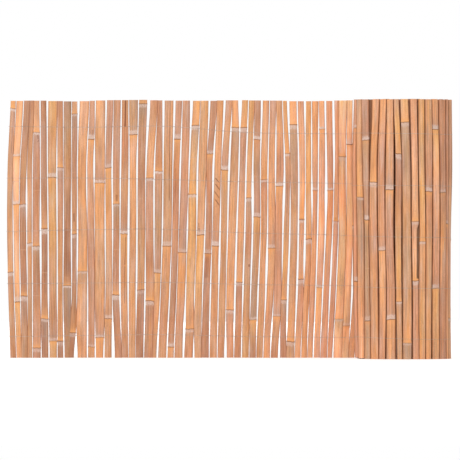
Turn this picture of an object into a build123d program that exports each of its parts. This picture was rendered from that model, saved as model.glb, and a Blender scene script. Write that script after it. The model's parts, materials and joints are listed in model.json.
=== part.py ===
"""Split bamboo screen, bound with wire, with a flat leaf and the rest of the mat in a roll.

The mat stands on its slat ends. +Z runs up the slats, and +X along the leaf, from its
free end to the roll. The roll stands in front of the leaf, towards -Y, and the leaf runs
on into the roll's outer turn at the roll's back. The origin is at the middle of the
footprint, on the ground. All sizes are in millimetres.
"""

import os
from math import asin, copysign, cos, pi, sin

from build123d import *

os.makedirs("parts", exist_ok=True)

# Slats, split from a cane wall
slat_length = 500.0
slat_thickness = 4.4
# The split sides close towards the cane's inside, by this much on each edge
inner_face_inset = 0.35
# The slats' edges stand this far into the gaps that are listed, or a third of the way
# across a narrower gap
edge_spread = 0.3
# A cane node crosses each slat as a low ridge on both faces
node_band = 6.0
node_rise = 0.5
# Room between a node's ridge and a wire
node_to_wire = 1.0

# Binding wires: five rows, each a strand in front and a strand behind
wire_rows = 5
wire_diameter = 0.9
lowest_row_on_roll = 40.0
row_spacing_on_roll = 99.5
lowest_row_at_free_end = 45.0
row_spacing_at_free_end = 101.0
# The strands are twisted together past the first slat, and in every gap that has room
wire_tail = 2.0
twist_width = 1.2
smallest_twisted_gap = 2.8

# Roll
roll_diameter = 195.0
roll_core_diameter = 28.0
turn_clearance = 0.5
inner_slat_width = 12.5
# The last leaf slat stands this far from the first slat of the roll
gap_before_roll = 1.2
# Wall that carries on behind the gaps of the outer turn
groove_floor = 1.0

# The leaf's slats in order from the free end. Each has the gap before it and its width,
# both at the top, three quarters up, half way, a quarter up and the foot, and then the
# heights of its nodes as shares of its length.
leaf_slats = [
    ((7.2, 1.4, 0.0, 2.3, 6.8), (8.7, 9.1, 10.1, 10.1, 9.7), (0.970, 0.333)),
    ((2.5, 1.2, 2.9, 2.1, 2.3), (12.0, 12.0, 9.7, 9.5, 8.9), (0.784, 0.597, 0.217)),
    ((2.9, 2.3, 1.9, 2.5, 0.4), (11.7, 11.3, 11.7, 11.7, 11.1), (0.597, 0.240)),
    ((0.1, 1.9, 2.9, 1.9, 1.0), (6.8, 8.7, 7.8, 7.2, 7.8), (0.446,)),
    ((0.1, 2.3, 2.9, 3.5, 1.9), (9.7, 12.2, 11.7, 12.6, 14.6), (0.877, 0.434, 0.038)),
    ((3.9, 3.9, 5.8, 3.9, 2.9), (9.7, 10.1, 10.3, 10.7, 11.7), (0.500, 0.151)),
    ((4.9, 3.1, 3.3, 3.9, 3.9), (16.5, 15.0, 14.2, 13.6, 12.6), (0.698, 0.065)),
    ((1.0, 3.5, 3.3, 3.3, 2.9), (9.7, 10.1, 9.1, 8.4, 9.7), (0.741, 0.065)),
    ((2.9, 1.9, 3.1, 1.9, 3.9), (13.6, 13.6, 12.0, 14.6, 8.7), (0.283,)),
    ((2.5, 1.9, 3.5, 1.9, 0.4), (9.1, 9.1, 8.2, 8.7, 7.4), (0.951, 0.489, 0.096)),
    ((5.8, 3.1, 3.9, 1.9, 8.7), (17.5, 15.0, 16.5, 18.4, 16.5), (0.337,)),
    ((1.9, 3.3, 1.4, 2.9, 3.9), (8.7, 10.3, 12.2, 11.7, 11.3), (0.850, 0.042)),
    ((3.5, 4.9, 1.9, 1.0, 3.9), (16.9, 17.1, 17.5, 18.8, 12.4), (0.679, 0.085)),
    ((4.5, 3.3, 4.5, 2.5, 4.5), (11.1, 10.7, 10.7, 11.7, 12.0), (0.737, 0.151)),
    ((1.9, 2.9, 3.3, 1.6, 7.8), (12.6, 12.6, 11.3, 12.0, 12.2), (0.597, 0.244)),
    ((3.5, 4.3, 2.7, 3.9, 1.0), (11.1, 12.2, 12.8, 12.2, 11.7), (0.485,)),
    ((2.9, 4.5, 4.7, 3.9, 1.9), (15.9, 11.1, 12.2, 12.0, 11.7), (0.865,)),
    ((3.5, 4.5, 3.9, 3.9, 1.9), (14.6, 13.6, 13.0, 12.6, 13.6), (0.985, 0.263)),
    ((6.8, 2.7, 2.9, 4.5, 2.9), (13.6, 15.1, 13.2, 15.0, 14.6), (0.690, 0.221)),
    ((1.0, 2.9, 4.5, 1.0, 1.0), (7.8, 12.2, 12.0, 10.7, 6.8), (0.725, 0.329)),
    ((5.8, 3.3, 3.5, 1.9, 4.9), (15.5, 15.5, 15.0, 15.5, 14.6), (0.434,)),
    ((5.8, 3.9, 3.5, 2.9, 2.9), (11.1, 10.7, 10.1, 10.7, 10.7), (0.850, 0.042)),
    ((2.5, 3.5, 2.9, 2.9, 3.9), (13.0, 13.6, 13.2, 14.6, 13.6), (0.409,)),
    ((7.0, 3.9, 3.9, 2.9, 4.9), (13.0, 14.0, 15.0, 14.6, 14.6), (0.904, 0.636, 0.112)),
    ((1.6, 2.9, 2.5, 2.9, 5.8), (15.9, 14.6, 14.0, 12.6, 11.7), (0.479,)),
    ((3.9, 1.0, 1.9, 2.5, 1.0), (11.3, 10.3, 11.7, 12.0, 12.6), (0.793, 0.405)),
    ((0.4, 4.7, 2.9, 3.9, 3.9), (12.6, 11.8, 12.2, 13.2, 12.2), (0.434,)),
    ((4.5, 2.7, 3.3, 1.4, 2.9), (12.0, 11.8, 12.2, 12.8, 12.0), (0.729,)),
    ((0.6, 3.9, 3.3, 2.1, 6.4), (11.5, 15.0, 14.6, 14.8, 11.1), (0.889, 0.186)),
    ((8.0, 3.5, 3.5, 2.5, 2.5), (10.5, 11.8, 12.6, 13.0, 11.5), (0.889, 0.292)),
    ((2.7, 2.5, 3.1, 3.3, 4.1), (10.3, 9.9, 10.5, 9.7, 11.5), (0.621,)),
    ((0.1, 3.3, 4.1, 4.5, 2.5), (11.8, 12.8, 11.8, 11.1, 11.3), (0.848, 0.547, 0.147)),
    ((4.9, 2.5, 1.9, 4.5, 2.1), (11.1, 10.3, 11.3, 12.0, 11.3), (0.687,)),
    ((2.9, 3.7, 3.1, 2.7, 2.3), (11.3, 11.5, 13.2, 13.0, 11.3), (0.426,)),
    ((0.4, 2.5, 0.6, 0.8, 3.5), (10.9, 13.0, 12.4, 14.2, 13.6), (0.667, 0.161)),
    ((1.9, 5.0, 4.3, 1.0, 4.5), (8.4, 8.5, 10.1, 9.5, 11.1), (0.795, 0.225)),
    ((4.3, 1.0, 2.1, 4.5, 0.2), (13.2, 14.2, 13.6, 13.2, 14.6), (0.908, 0.063)),
    ((3.3, 3.9, 3.9, 4.3, 1.9), (10.5, 9.9, 8.5, 10.7, 10.3), (0.539, 0.306)),
    ((5.6, 2.5, 4.7, 0.2, 2.7), (8.9, 9.3, 10.3, 10.9, 10.1), (0.463,)),
    ((2.7, 3.1, 1.6, 1.0, 1.9), (11.7, 10.3, 10.1, 10.3, 9.9), (0.652,)),
    ((1.7, 2.7, 2.5, 2.7, 3.1), (9.7, 11.1, 11.5, 11.1, 10.5), (0.883, 0.279)),
    ((4.1, 5.0, 2.9, 2.1, 1.6), (11.7, 10.9, 11.5, 11.8, 11.8), (0.652,)),
    ((4.1, 3.7, 2.3, 2.3, 2.1), (7.4, 7.0, 8.9, 9.7, 7.8), (0.531,)),
    ((1.2, 0.4, 1.9, 2.3, 3.9), (15.1, 12.6, 13.8, 14.6, 15.3), (0.782, 0.151)),
    ((1.4, 3.5, 1.2, 0.6, 0.6), (9.5, 9.7, 11.3, 12.6, 12.6), (0.828, 0.124)),
    ((6.8, 6.4, 6.0, 4.3, 0.6), (11.7, 11.7, 11.3, 11.3, 10.1), (0.400,)),
    ((2.0, 2.4, 1.8, 2.2, 3.0), (11.0, 11.3, 11.8, 12.0, 12.8), (0.620, 0.200)),
    ((1.5, 2.0, 1.6, 2.0, 2.4), (12.0, 11.2, 11.6, 12.2, 13.4), (0.810, 0.370)),
    ((2.4, 1.6, 2.0, 1.8, 2.6), (9.6, 10.4, 10.0, 11.4, 11.8), (0.460,)),
    ((1.8, 2.2, 1.4, 2.0, 2.2), (10.6, 10.2, 11.0, 11.0, 12.8), (0.710, 0.160)),
    ((2.0, 1.6, 2.2, 1.6, 2.8), (10.0, 10.8, 10.0, 11.0, 11.8), (0.550,)),
    ((1.6, 2.0, 1.6, 2.0, 2.4), (10.7, 9.5, 10.6, 10.7, 12.0), (0.880, 0.300)),
]

# The slats of the roll's outer turn, in order from the leaf: round the right side, across
# the front from right to left, and round the left side to the leaf again. Each has its
# width, the gap after it and the heights of its nodes as shares of its length.
outer_turn_slats = [
    (12.6, 1.6, (0.300,)),
    (10.5, 2.4, (0.700,)),
    (13.2, 1.2, (0.120, 0.550)),
    (11.4, 2.2, (0.860, 0.410)),
    (10.3, 1.8, (0.640,)),
    (12.6, 1.4, (0.230,)),
    (11.0, 2.6, (0.780, 0.480)),
    (12.2, 1.6, (0.350,)),
    (10.2, 2.0, (0.910, 0.060)),
    (13.0, 1.4, (0.590,)),
    (11.4, 2.2, (0.730, 0.190)),
    (11.0, 1.8, (0.460,)),
    (18.5, 3.2, (0.157,)),
    (9.1, 2.1, (0.520,)),
    (21.4, 2.8, (0.642,)),
    (15.2, 2.3, (0.883, 0.272)),
    (13.3, 2.1, (0.645,)),
    (11.6, 2.6, (0.453,)),
    (12.2, 2.3, (0.529, 0.301)),
    (15.0, 2.0, (0.911, 0.063)),
    (10.2, 4.1, (0.790, 0.222)),
    (15.2, 1.1, (0.652, 0.153)),
    (13.5, 3.5, (0.418,)),
    (14.7, 6.2, (0.681,)),
    (17.3, 1.7, (0.842, 0.535, 0.146)),
    (21.1, 0.8, (0.622,)),
    (19.5, 1.6, (0.890, 0.295)),
    (12.2, 1.6, (0.510,)),
    (10.8, 2.4, (0.770, 0.180)),
    (13.0, 1.4, (0.360,)),
    (11.6, 2.0, (0.650,)),
    (12.4, 1.8, (0.900, 0.440)),
    (10.4, 2.2, (0.250,)),
    (13.4, 1.4, (0.570,)),
    (11.8, 2.0, (0.810, 0.130)),
    (12.6, 1.6, (0.690,)),
    (11.0, 2.4, (0.380,)),
    (12.8, 2.0, (0.530,)),
]

# Where the leaf's slats stand, from the outermost edge of its free end
half_thickness = slat_thickness / 2
left_edges, right_edges = [], []
reached = [0.0] * len(leaf_slats[0][0])
for gaps, widths, _ in leaf_slats:
    left_edges.append([edge + gap for edge, gap in zip(reached, gaps)])
    reached = [edge + width for edge, width in zip(left_edges[-1], widths)]
    right_edges.append(reached)
leaf_width = max(reached) + gap_before_roll
for index, (gaps, *_) in enumerate(leaf_slats):
    spread = [min(edge_spread, gap / 3) for gap in gaps]
    left_edges[index] = [edge - move for edge, move in zip(left_edges[index], spread)]
    if index > 0:
        before = right_edges[index - 1]
        right_edges[index - 1] = [edge + move for edge, move in zip(before, spread)]

# The roll's turns follow a spiral, given by the middle of the mat's thickness
turn_pitch = slat_thickness + 2 * wire_diameter + turn_clearance
spiral_radius = (roll_diameter - slat_thickness) / 2
right_reach = spiral_radius - turn_pitch / 4 + half_thickness + wire_diameter
front_reach = spiral_radius - turn_pitch / 2 + half_thickness + wire_diameter
overall_width = wire_tail + leaf_width + right_reach
overall_depth = half_thickness + wire_diameter + spiral_radius + front_reach

# Places in the part's frame
free_end_x = wire_tail - overall_width / 2
roll_x = free_end_x + leaf_width
leaf_y = overall_depth / 2 - half_thickness - wire_diameter
roll_y = leaf_y - spiral_radius


def at_height(five, height):
    """Value at a height, between the five values given from the top to the foot."""
    place = (1 - height / slat_length) * (len(five) - 1)
    above = min(int(place), len(five) - 2)
    return five[above] + (five[above + 1] - five[above]) * (place - above)


def wire_height(row, x):
    """Height of a row's middle: level round the roll, rising a little to the free end."""
    at_roll = lowest_row_on_roll + row * row_spacing_on_roll
    at_free_end = lowest_row_at_free_end + row * row_spacing_at_free_end
    share = max((roll_x - x) / leaf_width, 0)
    return at_roll + (at_free_end - at_roll) * share


def clear_of_wires(height, x):
    """Height of a node, moved just clear of a wire: the binding never lies on a node."""
    room = (node_band + wire_diameter) / 2 + node_to_wire
    for row in range(wire_rows):
        from_wire = height - wire_height(row, x)
        if abs(from_wire) < room:
            return wire_height(row, x) + copysign(room, from_wire)
    return height


def slat_sections(nodes):
    """Heights of a slat's cross-sections, and how proud both its faces stand there."""
    quarters = range(len(reached))
    sections = {slat_length * step / (len(reached) - 1): 0.0 for step in quarters}
    for node in nodes:
        sections = {z: rise for z, rise in sections.items() if abs(z - node) > node_band / 2}
        sections[node - node_band / 2] = 0.0
        sections[node] = node_rise
        sections[node + node_band / 2] = 0.0
    return sorted(sections.items())


# Leaf: each slat is lofted through its cross-sections
for number, (left, right) in enumerate(zip(left_edges, right_edges), start=1):
    middle_x = free_end_x + (left[2] + right[2]) / 2
    shares = leaf_slats[number - 1][2]
    nodes = [clear_of_wires(share * slat_length, middle_x) for share in shares]
    with BuildPart() as slat:
        for height, rise in slat_sections(nodes):
            # The split sides are flat, so a node's proud faces carry their slope further
            flare = inner_face_inset * rise / slat_thickness
            inset = inner_face_inset + flare
            x_left = free_end_x + at_height(left, height)
            x_right = free_end_x + at_height(right, height)
            with BuildSketch(Plane.XY.offset(height)):
                with BuildLine():
                    Polyline(
                        (x_left - flare, leaf_y + half_thickness + rise),
                        (x_right + flare, leaf_y + half_thickness + rise),
                        (x_right - inset, leaf_y - half_thickness - rise),
                        (x_left + inset, leaf_y - half_thickness - rise),
                        close=True,
                    )
                make_face()
        loft(ruled=True)
    slat.part.label = f"slat_{number:02d}"
    export_step(slat.part, f"parts/slat_{number:02d}.step")


def spiral_radius_at(angle):
    """Radius of the mat's middle, wound inwards from the leaf by an angle in radians."""
    return spiral_radius - turn_pitch * angle / (2 * pi)


def on_spiral(angle):
    """Point on the spiral, seen from above, going clockwise from the roll's back."""
    radius = spiral_radius_at(angle)
    return Vector(roll_x + radius * sin(angle), roll_y + radius * cos(angle))


def next_angle(angle, chord):
    """Angle at the far end of a straight slat that starts at an angle."""
    return angle + 2 * asin(chord / (2 * spiral_radius_at(angle)))


# Joints between the roll's slats: every slat is a straight chord of the spiral
angle = 0.0
joints = [on_spiral(angle)]
gap_before = 0.0
for width, gap, _ in outer_turn_slats:
    angle = next_angle(angle, gap_before / 2 + width + gap / 2)
    joints.append(on_spiral(angle))
    gap_before = gap
while spiral_radius_at(angle) > roll_core_diameter / 2:
    angle = next_angle(angle, inner_slat_width)
    joints.append(on_spiral(angle))

along = [(end - start).normalized() for start, end in zip(joints, joints[1:])]
outward = [Vector(-direction.Y, direction.X) for direction in along]


def offset_joint(index, distance):
    """A joint moved outwards, to where the faces of the two slats that meet there cross."""
    if index == 0:
        return joints[0] + Vector(0, distance)
    if index == len(joints) - 1:
        return joints[index] + outward[-1] * distance
    both = outward[index - 1] + outward[index]
    return joints[index] + both * (distance / both.dot(outward[index]))


# Outline of the roll from above: the outer side with the gaps of the outer turn, then
# the inner side back to the leaf
outline = [offset_joint(0, half_thickness)]
gap_before = 0.0
for index, (width, gap, _) in enumerate(outer_turn_slats):
    to_face = outward[index] * half_thickness
    to_floor = outward[index] * (groove_floor - half_thickness)
    if index > 0:
        near_end = joints[index] + along[index] * (gap_before / 2)
        outline += [near_end + to_floor, near_end + to_face]
    if index < len(outer_turn_slats) - 1:
        far_end = joints[index + 1] - along[index] * (gap / 2)
        outline += [far_end + to_face, far_end + to_floor]
    gap_before = gap
inner_joints = range(len(outer_turn_slats), len(joints))
outline += [offset_joint(index, half_thickness) for index in inner_joints]
outline += [offset_joint(index, -half_thickness) for index in reversed(range(len(joints)))]

# Node ridges on the outer turn, seated half their depth in the slats
with BuildPart() as ridges:
    gap_before = 0.0
    for index, (width, gap, shares) in enumerate(outer_turn_slats):
        face_start = joints[index] + along[index] * (gap_before / 2)
        face_start += outward[index] * half_thickness
        for share in shares:
            height = clear_of_wires(share * slat_length, roll_x)
            across = Plane(face_start + Vector(0, 0, height), outward[index], along[index])
            with BuildSketch(across):
                with BuildLine():
                    Polyline(
                        (0, -node_band / 2),
                        (node_rise, 0),
                        (0, node_band / 2),
                        (-node_rise, 0),
                        close=True,
                    )
                make_face()
            extrude(amount=width)
        gap_before = gap

# Roll: all its turns as one wall
with BuildPart() as wound_roll:
    with BuildSketch():
        with BuildLine():
            Polyline(*outline, close=True)
        make_face()
    extrude(amount=slat_length)
    add(ridges.part)
wound_roll.part.label = "wound_roll"
export_step(wound_roll.part, "parts/wound_roll.step")


def twists(row):
    """Where each twist of the two strands starts: past the first slat, then in gaps."""
    height = wire_height(row, free_end_x)
    starts = [free_end_x + at_height(left_edges[0], height) - wire_tail]
    for right, left in zip(right_edges, left_edges[1:]):
        height = wire_height(row, free_end_x + at_height(left, height))
        gap_start = free_end_x + at_height(right, height)
        gap_end = free_end_x + at_height(left, height)
        if gap_end - gap_start > smallest_twisted_gap:
            starts.append((gap_start + gap_end - twist_width) / 2)
    return starts


# Binding wires, numbered from the foot. On the leaf a row is a ladder seen from above, with
# the twists as its rungs. Its back strand runs on round the roll.
around_roll = [offset_joint(index, half_thickness) for index in range(len(outer_turn_slats) + 1)]
outside_wire = [
    offset_joint(index, half_thickness + wire_diameter)
    for index in reversed(range(len(outer_turn_slats) + 1))
]
from_corner = (Align.MIN, Align.MIN)
for row in range(wire_rows):
    starts = twists(row)
    rise_to_roll = wire_height(row, roll_x) - wire_height(row, free_end_x)
    direction = Vector(leaf_width, 0, rise_to_roll).normalized()
    ladder = Plane(
        (roll_x, leaf_y, wire_height(row, roll_x)),
        x_dir=direction,
        z_dir=direction.cross(Vector(0, 1, 0)),
    )
    along_wire = [(start - roll_x) / direction.X for start in starts]
    with BuildPart() as binding_wire:
        with BuildSketch(ladder):
            with Locations((along_wire[0], half_thickness)):
                Rectangle(wire_diameter - along_wire[0], wire_diameter, align=from_corner)
            with Locations((along_wire[0], -half_thickness - wire_diameter)):
                Rectangle(-along_wire[0], wire_diameter, align=from_corner)
            with Locations([(start, -half_thickness) for start in along_wire]):
                Rectangle(twist_width, slat_thickness, align=from_corner)
        extrude(amount=wire_diameter / 2, both=True)
        with BuildSketch(Plane.XY.offset(wire_height(row, roll_x) - wire_diameter / 2)):
            with BuildLine():
                Polyline(*around_roll, *outside_wire, close=True)
            make_face()
        extrude(amount=wire_diameter)
    binding_wire.part.label = f"binding_wire_{row + 1}"
    export_step(binding_wire.part, f"parts/binding_wire_{row + 1}.step")

print(f"leaf {leaf_width:.0f} mm of {len(leaf_slats)} slats, roll of {len(joints) - 1} slats")
print(f"turns {angle / (2 * pi):.1f}, overall {overall_width:.0f} x {overall_depth:.0f} mm")
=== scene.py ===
"""Looks of a split bamboo screen, partly unrolled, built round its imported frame.

The slats of the leaf and of the roll's outer turn are swept by Geometry Nodes along guide
lines, and so are the binding wires. Lengths are in metres unless a name says otherwise.
"""

import json
import math
import random

import bmesh
import bpy
from bpy.props import FloatProperty, FloatVectorProperty, IntProperty, PointerProperty
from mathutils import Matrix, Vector


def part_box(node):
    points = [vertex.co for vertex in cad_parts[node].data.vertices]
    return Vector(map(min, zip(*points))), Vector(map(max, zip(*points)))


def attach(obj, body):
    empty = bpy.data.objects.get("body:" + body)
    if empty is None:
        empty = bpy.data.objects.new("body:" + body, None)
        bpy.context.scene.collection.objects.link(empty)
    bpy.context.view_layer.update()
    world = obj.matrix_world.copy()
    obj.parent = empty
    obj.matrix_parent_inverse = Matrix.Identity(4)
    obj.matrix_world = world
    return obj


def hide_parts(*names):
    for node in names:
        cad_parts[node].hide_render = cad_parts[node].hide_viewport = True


bl_info = {
    "name": "Bamboo screen",
    "version": (1, 0, 0),
    "blender": (4, 5, 0),
    "location": "3D View > Sidebar > Bamboo screen",
    "description": "Split bamboo slats, binding wire and a wound roll, on a studio floor",
    "category": "Object",
}

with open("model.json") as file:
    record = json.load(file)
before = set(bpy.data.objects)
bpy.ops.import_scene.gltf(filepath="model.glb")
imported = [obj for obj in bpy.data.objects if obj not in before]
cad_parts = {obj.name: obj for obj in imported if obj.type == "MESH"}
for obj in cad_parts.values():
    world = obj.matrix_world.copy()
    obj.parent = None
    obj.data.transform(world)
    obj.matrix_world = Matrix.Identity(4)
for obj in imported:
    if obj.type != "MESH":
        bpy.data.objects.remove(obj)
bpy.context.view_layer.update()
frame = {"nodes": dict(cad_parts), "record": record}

MM = 0.001

# The picture is square, this many metres wide at the leaf, and its middle lies here
PICTURE_WIDTH = 460 * 1.942 * MM
CAMERA_FROM_FREE_END = 432.5 * MM
CAMERA_HEIGHT = 248.2 * MM

# Area lights: place, size, and share of the key light's power
LIGHTS = {
    "key": ((-2.8, -7.0, 2.8), 4.0, 1.0),
    "fill": ((3.4, -6.5, 2.2), 4.0, 0.35),
    "side": ((-6.0, -1.6, 2.2), 4.0, 0.24),
    "back": ((0.5, 5.5, 3.5), 3.0, 0.45),
}

# How far the floor reaches to each side
FLOOR_REACH = 6.0

# Colours of dry split bamboo, as display values
PALETTE = {
    "orange": (0.917, 0.657, 0.460),
    "peach": (0.958, 0.708, 0.532),
    "gold": (0.921, 0.681, 0.444),
    "tan": (0.861, 0.636, 0.460),
    "straw": (0.868, 0.700, 0.520),
    "rose": (0.850, 0.611, 0.468),
    "mauve": (0.825, 0.607, 0.483),
    "brown": (0.796, 0.561, 0.423),
    "grey": (0.782, 0.608, 0.471),
    "rust": (0.844, 0.565, 0.406),
}

LIGHTNESS_STEP = 0.035

# Painted light and shade, as scales of the slats' tones at the foot and at the top. The leaf is
# painted darker towards its foot and lighter towards its top.
LEAF_PAINTED_SHADE = (0.985, 1.012)
# Painted light: the roll's outer turn is made a little lighter all over
OUTER_PAINTED_LIGHT = (1.03, 1.03)
# Painted shade: the inner turns are made darker, for the shade deep inside the roll
INNER_PAINTED_SHADE = (0.85, 0.85)

# Tones of the leaf's slats from the top to the foot. A word is a tone, and > blends it into
# the next. At a node, v has the gold side below and the pale side above, and ^ the reverse.
# A leading + makes the whole slat one step lighter, and a leading - one step darker. The many + steps
# on the last slats before the roll are painted light, making up for the light that the roll keeps off
# them.
LEAF_TONES = [
    "orange ^ mauve>tan>tan>orange ^ brown>tan>brown",
    "+++ orange v peach v orange v gold>orange",
    "-- mauve>mauve>tan>rust ^ mauve>brown>brown ^ mauve>tan",
    "- brown>tan>orange>orange ^ orange>tan>tan",
    "orange>peach ^ mauve>brown>mauve ^ grey>brown>rose>rose ^ brown",
    "--- brown>rose>rose>orange ^ brown>brown>orange ^ brown>rose",
    "- gold>tan>gold v gold>gold>tan>brown v gold",
    "-- brown>orange ^ mauve>rose>orange>orange>orange ^ brown",
    "--- grey>tan>brown>brown ^ grey>grey>tan",
    "--- peach ^ mauve>rose>orange ^ brown>rose>orange ^ brown",
    "peach>orange>orange>orange ^ tan>peach>orange",
    "+ rose>mauve v orange>rose>brown>brown>rose v tan",
    "+ orange>tan>tan>mauve v orange>tan>tan>mauve v orange",
    "mauve>mauve v gold>orange>tan>orange v tan",
    "- rose>mauve>mauve>orange ^ grey>mauve>brown>rust ^ mauve>brown>rose",
    "- tan>rust>tan>mauve v gold>orange>orange>rose",
    "grey>tan v peach>orange>orange>tan>orange>tan",
    "-- tan ^ grey>mauve>mauve>tan>orange ^ mauve>brown",
    "rose>orange>orange ^ mauve>rose>brown>orange ^ rose>mauve>tan>brown",
    "brown>brown ^ mauve>grey>mauve v gold>orange>tan",
    "orange>tan>tan>tan v orange>tan>rose>orange",
    "- rose>rose v orange>rust>rose>brown>rose v orange",
    "mauve>rose>mauve>rose v orange>orange>rose>tan",
    "+ gold>orange ^ grey>gold ^ gold>gold>gold>orange ^ tan>rose",
    "+ gold>tan>tan>orange v gold>gold>tan>tan",
    "- mauve>brown v orange>rust>brown>rose v rust>brown>brown>brown",
    "- orange>peach>orange>rose v orange>orange>orange",
    "rose>tan>mauve v gold>tan>tan>tan>tan>rose",
    "+ orange>orange ^ grey>tan>orange>orange ^ rose>rose",
    "gold>orange ^ mauve>rose>orange>orange ^ brown>rose>brown",
    "- gold>orange ^ grey>brown>tan>tan>gold",
    "- mauve>mauve v rose>grey>mauve>mauve v gold>tan>grey>grey v gold>brown",
    "orange>orange ^ rust>orange>orange>orange>tan",
    "+ rose>orange>orange>rose v orange>orange>rose>orange",
    "+ tan>orange>brown>rose v orange>rose>brown>rose>mauve v orange>tan>brown",
    "gold>orange ^ tan>brown>tan>gold>orange ^ grey>brown>brown",
    "++ orange>peach ^ grey>grey>grey>grey>tan>tan ^ grey>grey",
    "++ rose>peach>orange ^ rose>orange ^ rose>rose>orange",
    "+ gold>gold>gold>orange ^ orange>orange>orange",
    "++ orange>orange>rose v rust>orange>rose>orange",
    # Painted light: the + steps of these slats next to the roll make up for the roll's shade, and the
    # straw tones of two of them offset the orange light that the roll throws back on them
    "++++ orange>peach v orange>rose>peach>rose v gold>orange>rose",
    "+++ rose>rose>brown v rust>orange>rose>rose",
    "++++ mauve>rose>tan ^ mauve>mauve>brown>mauve",
    "+++++ straw>peach ^ straw>peach>straw>straw>peach ^ straw>peach",
    "+++++ straw>peach v peach>straw>peach>straw v peach>straw",
    "++++ mauve>mauve>tan v mauve>tan",
    "orange>tan>orange ^ mauve>rose>tan ^ tan>orange",
    "rose>mauve v gold>orange>rose v tan>orange",
    "tan>gold>orange ^ grey>tan>tan",
    "orange>orange v gold>tan>rose v orange>brown",
    "grey>tan>orange ^ mauve>tan>grey",
    "orange>peach v orange>rose>tan v gold>orange",
]

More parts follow.
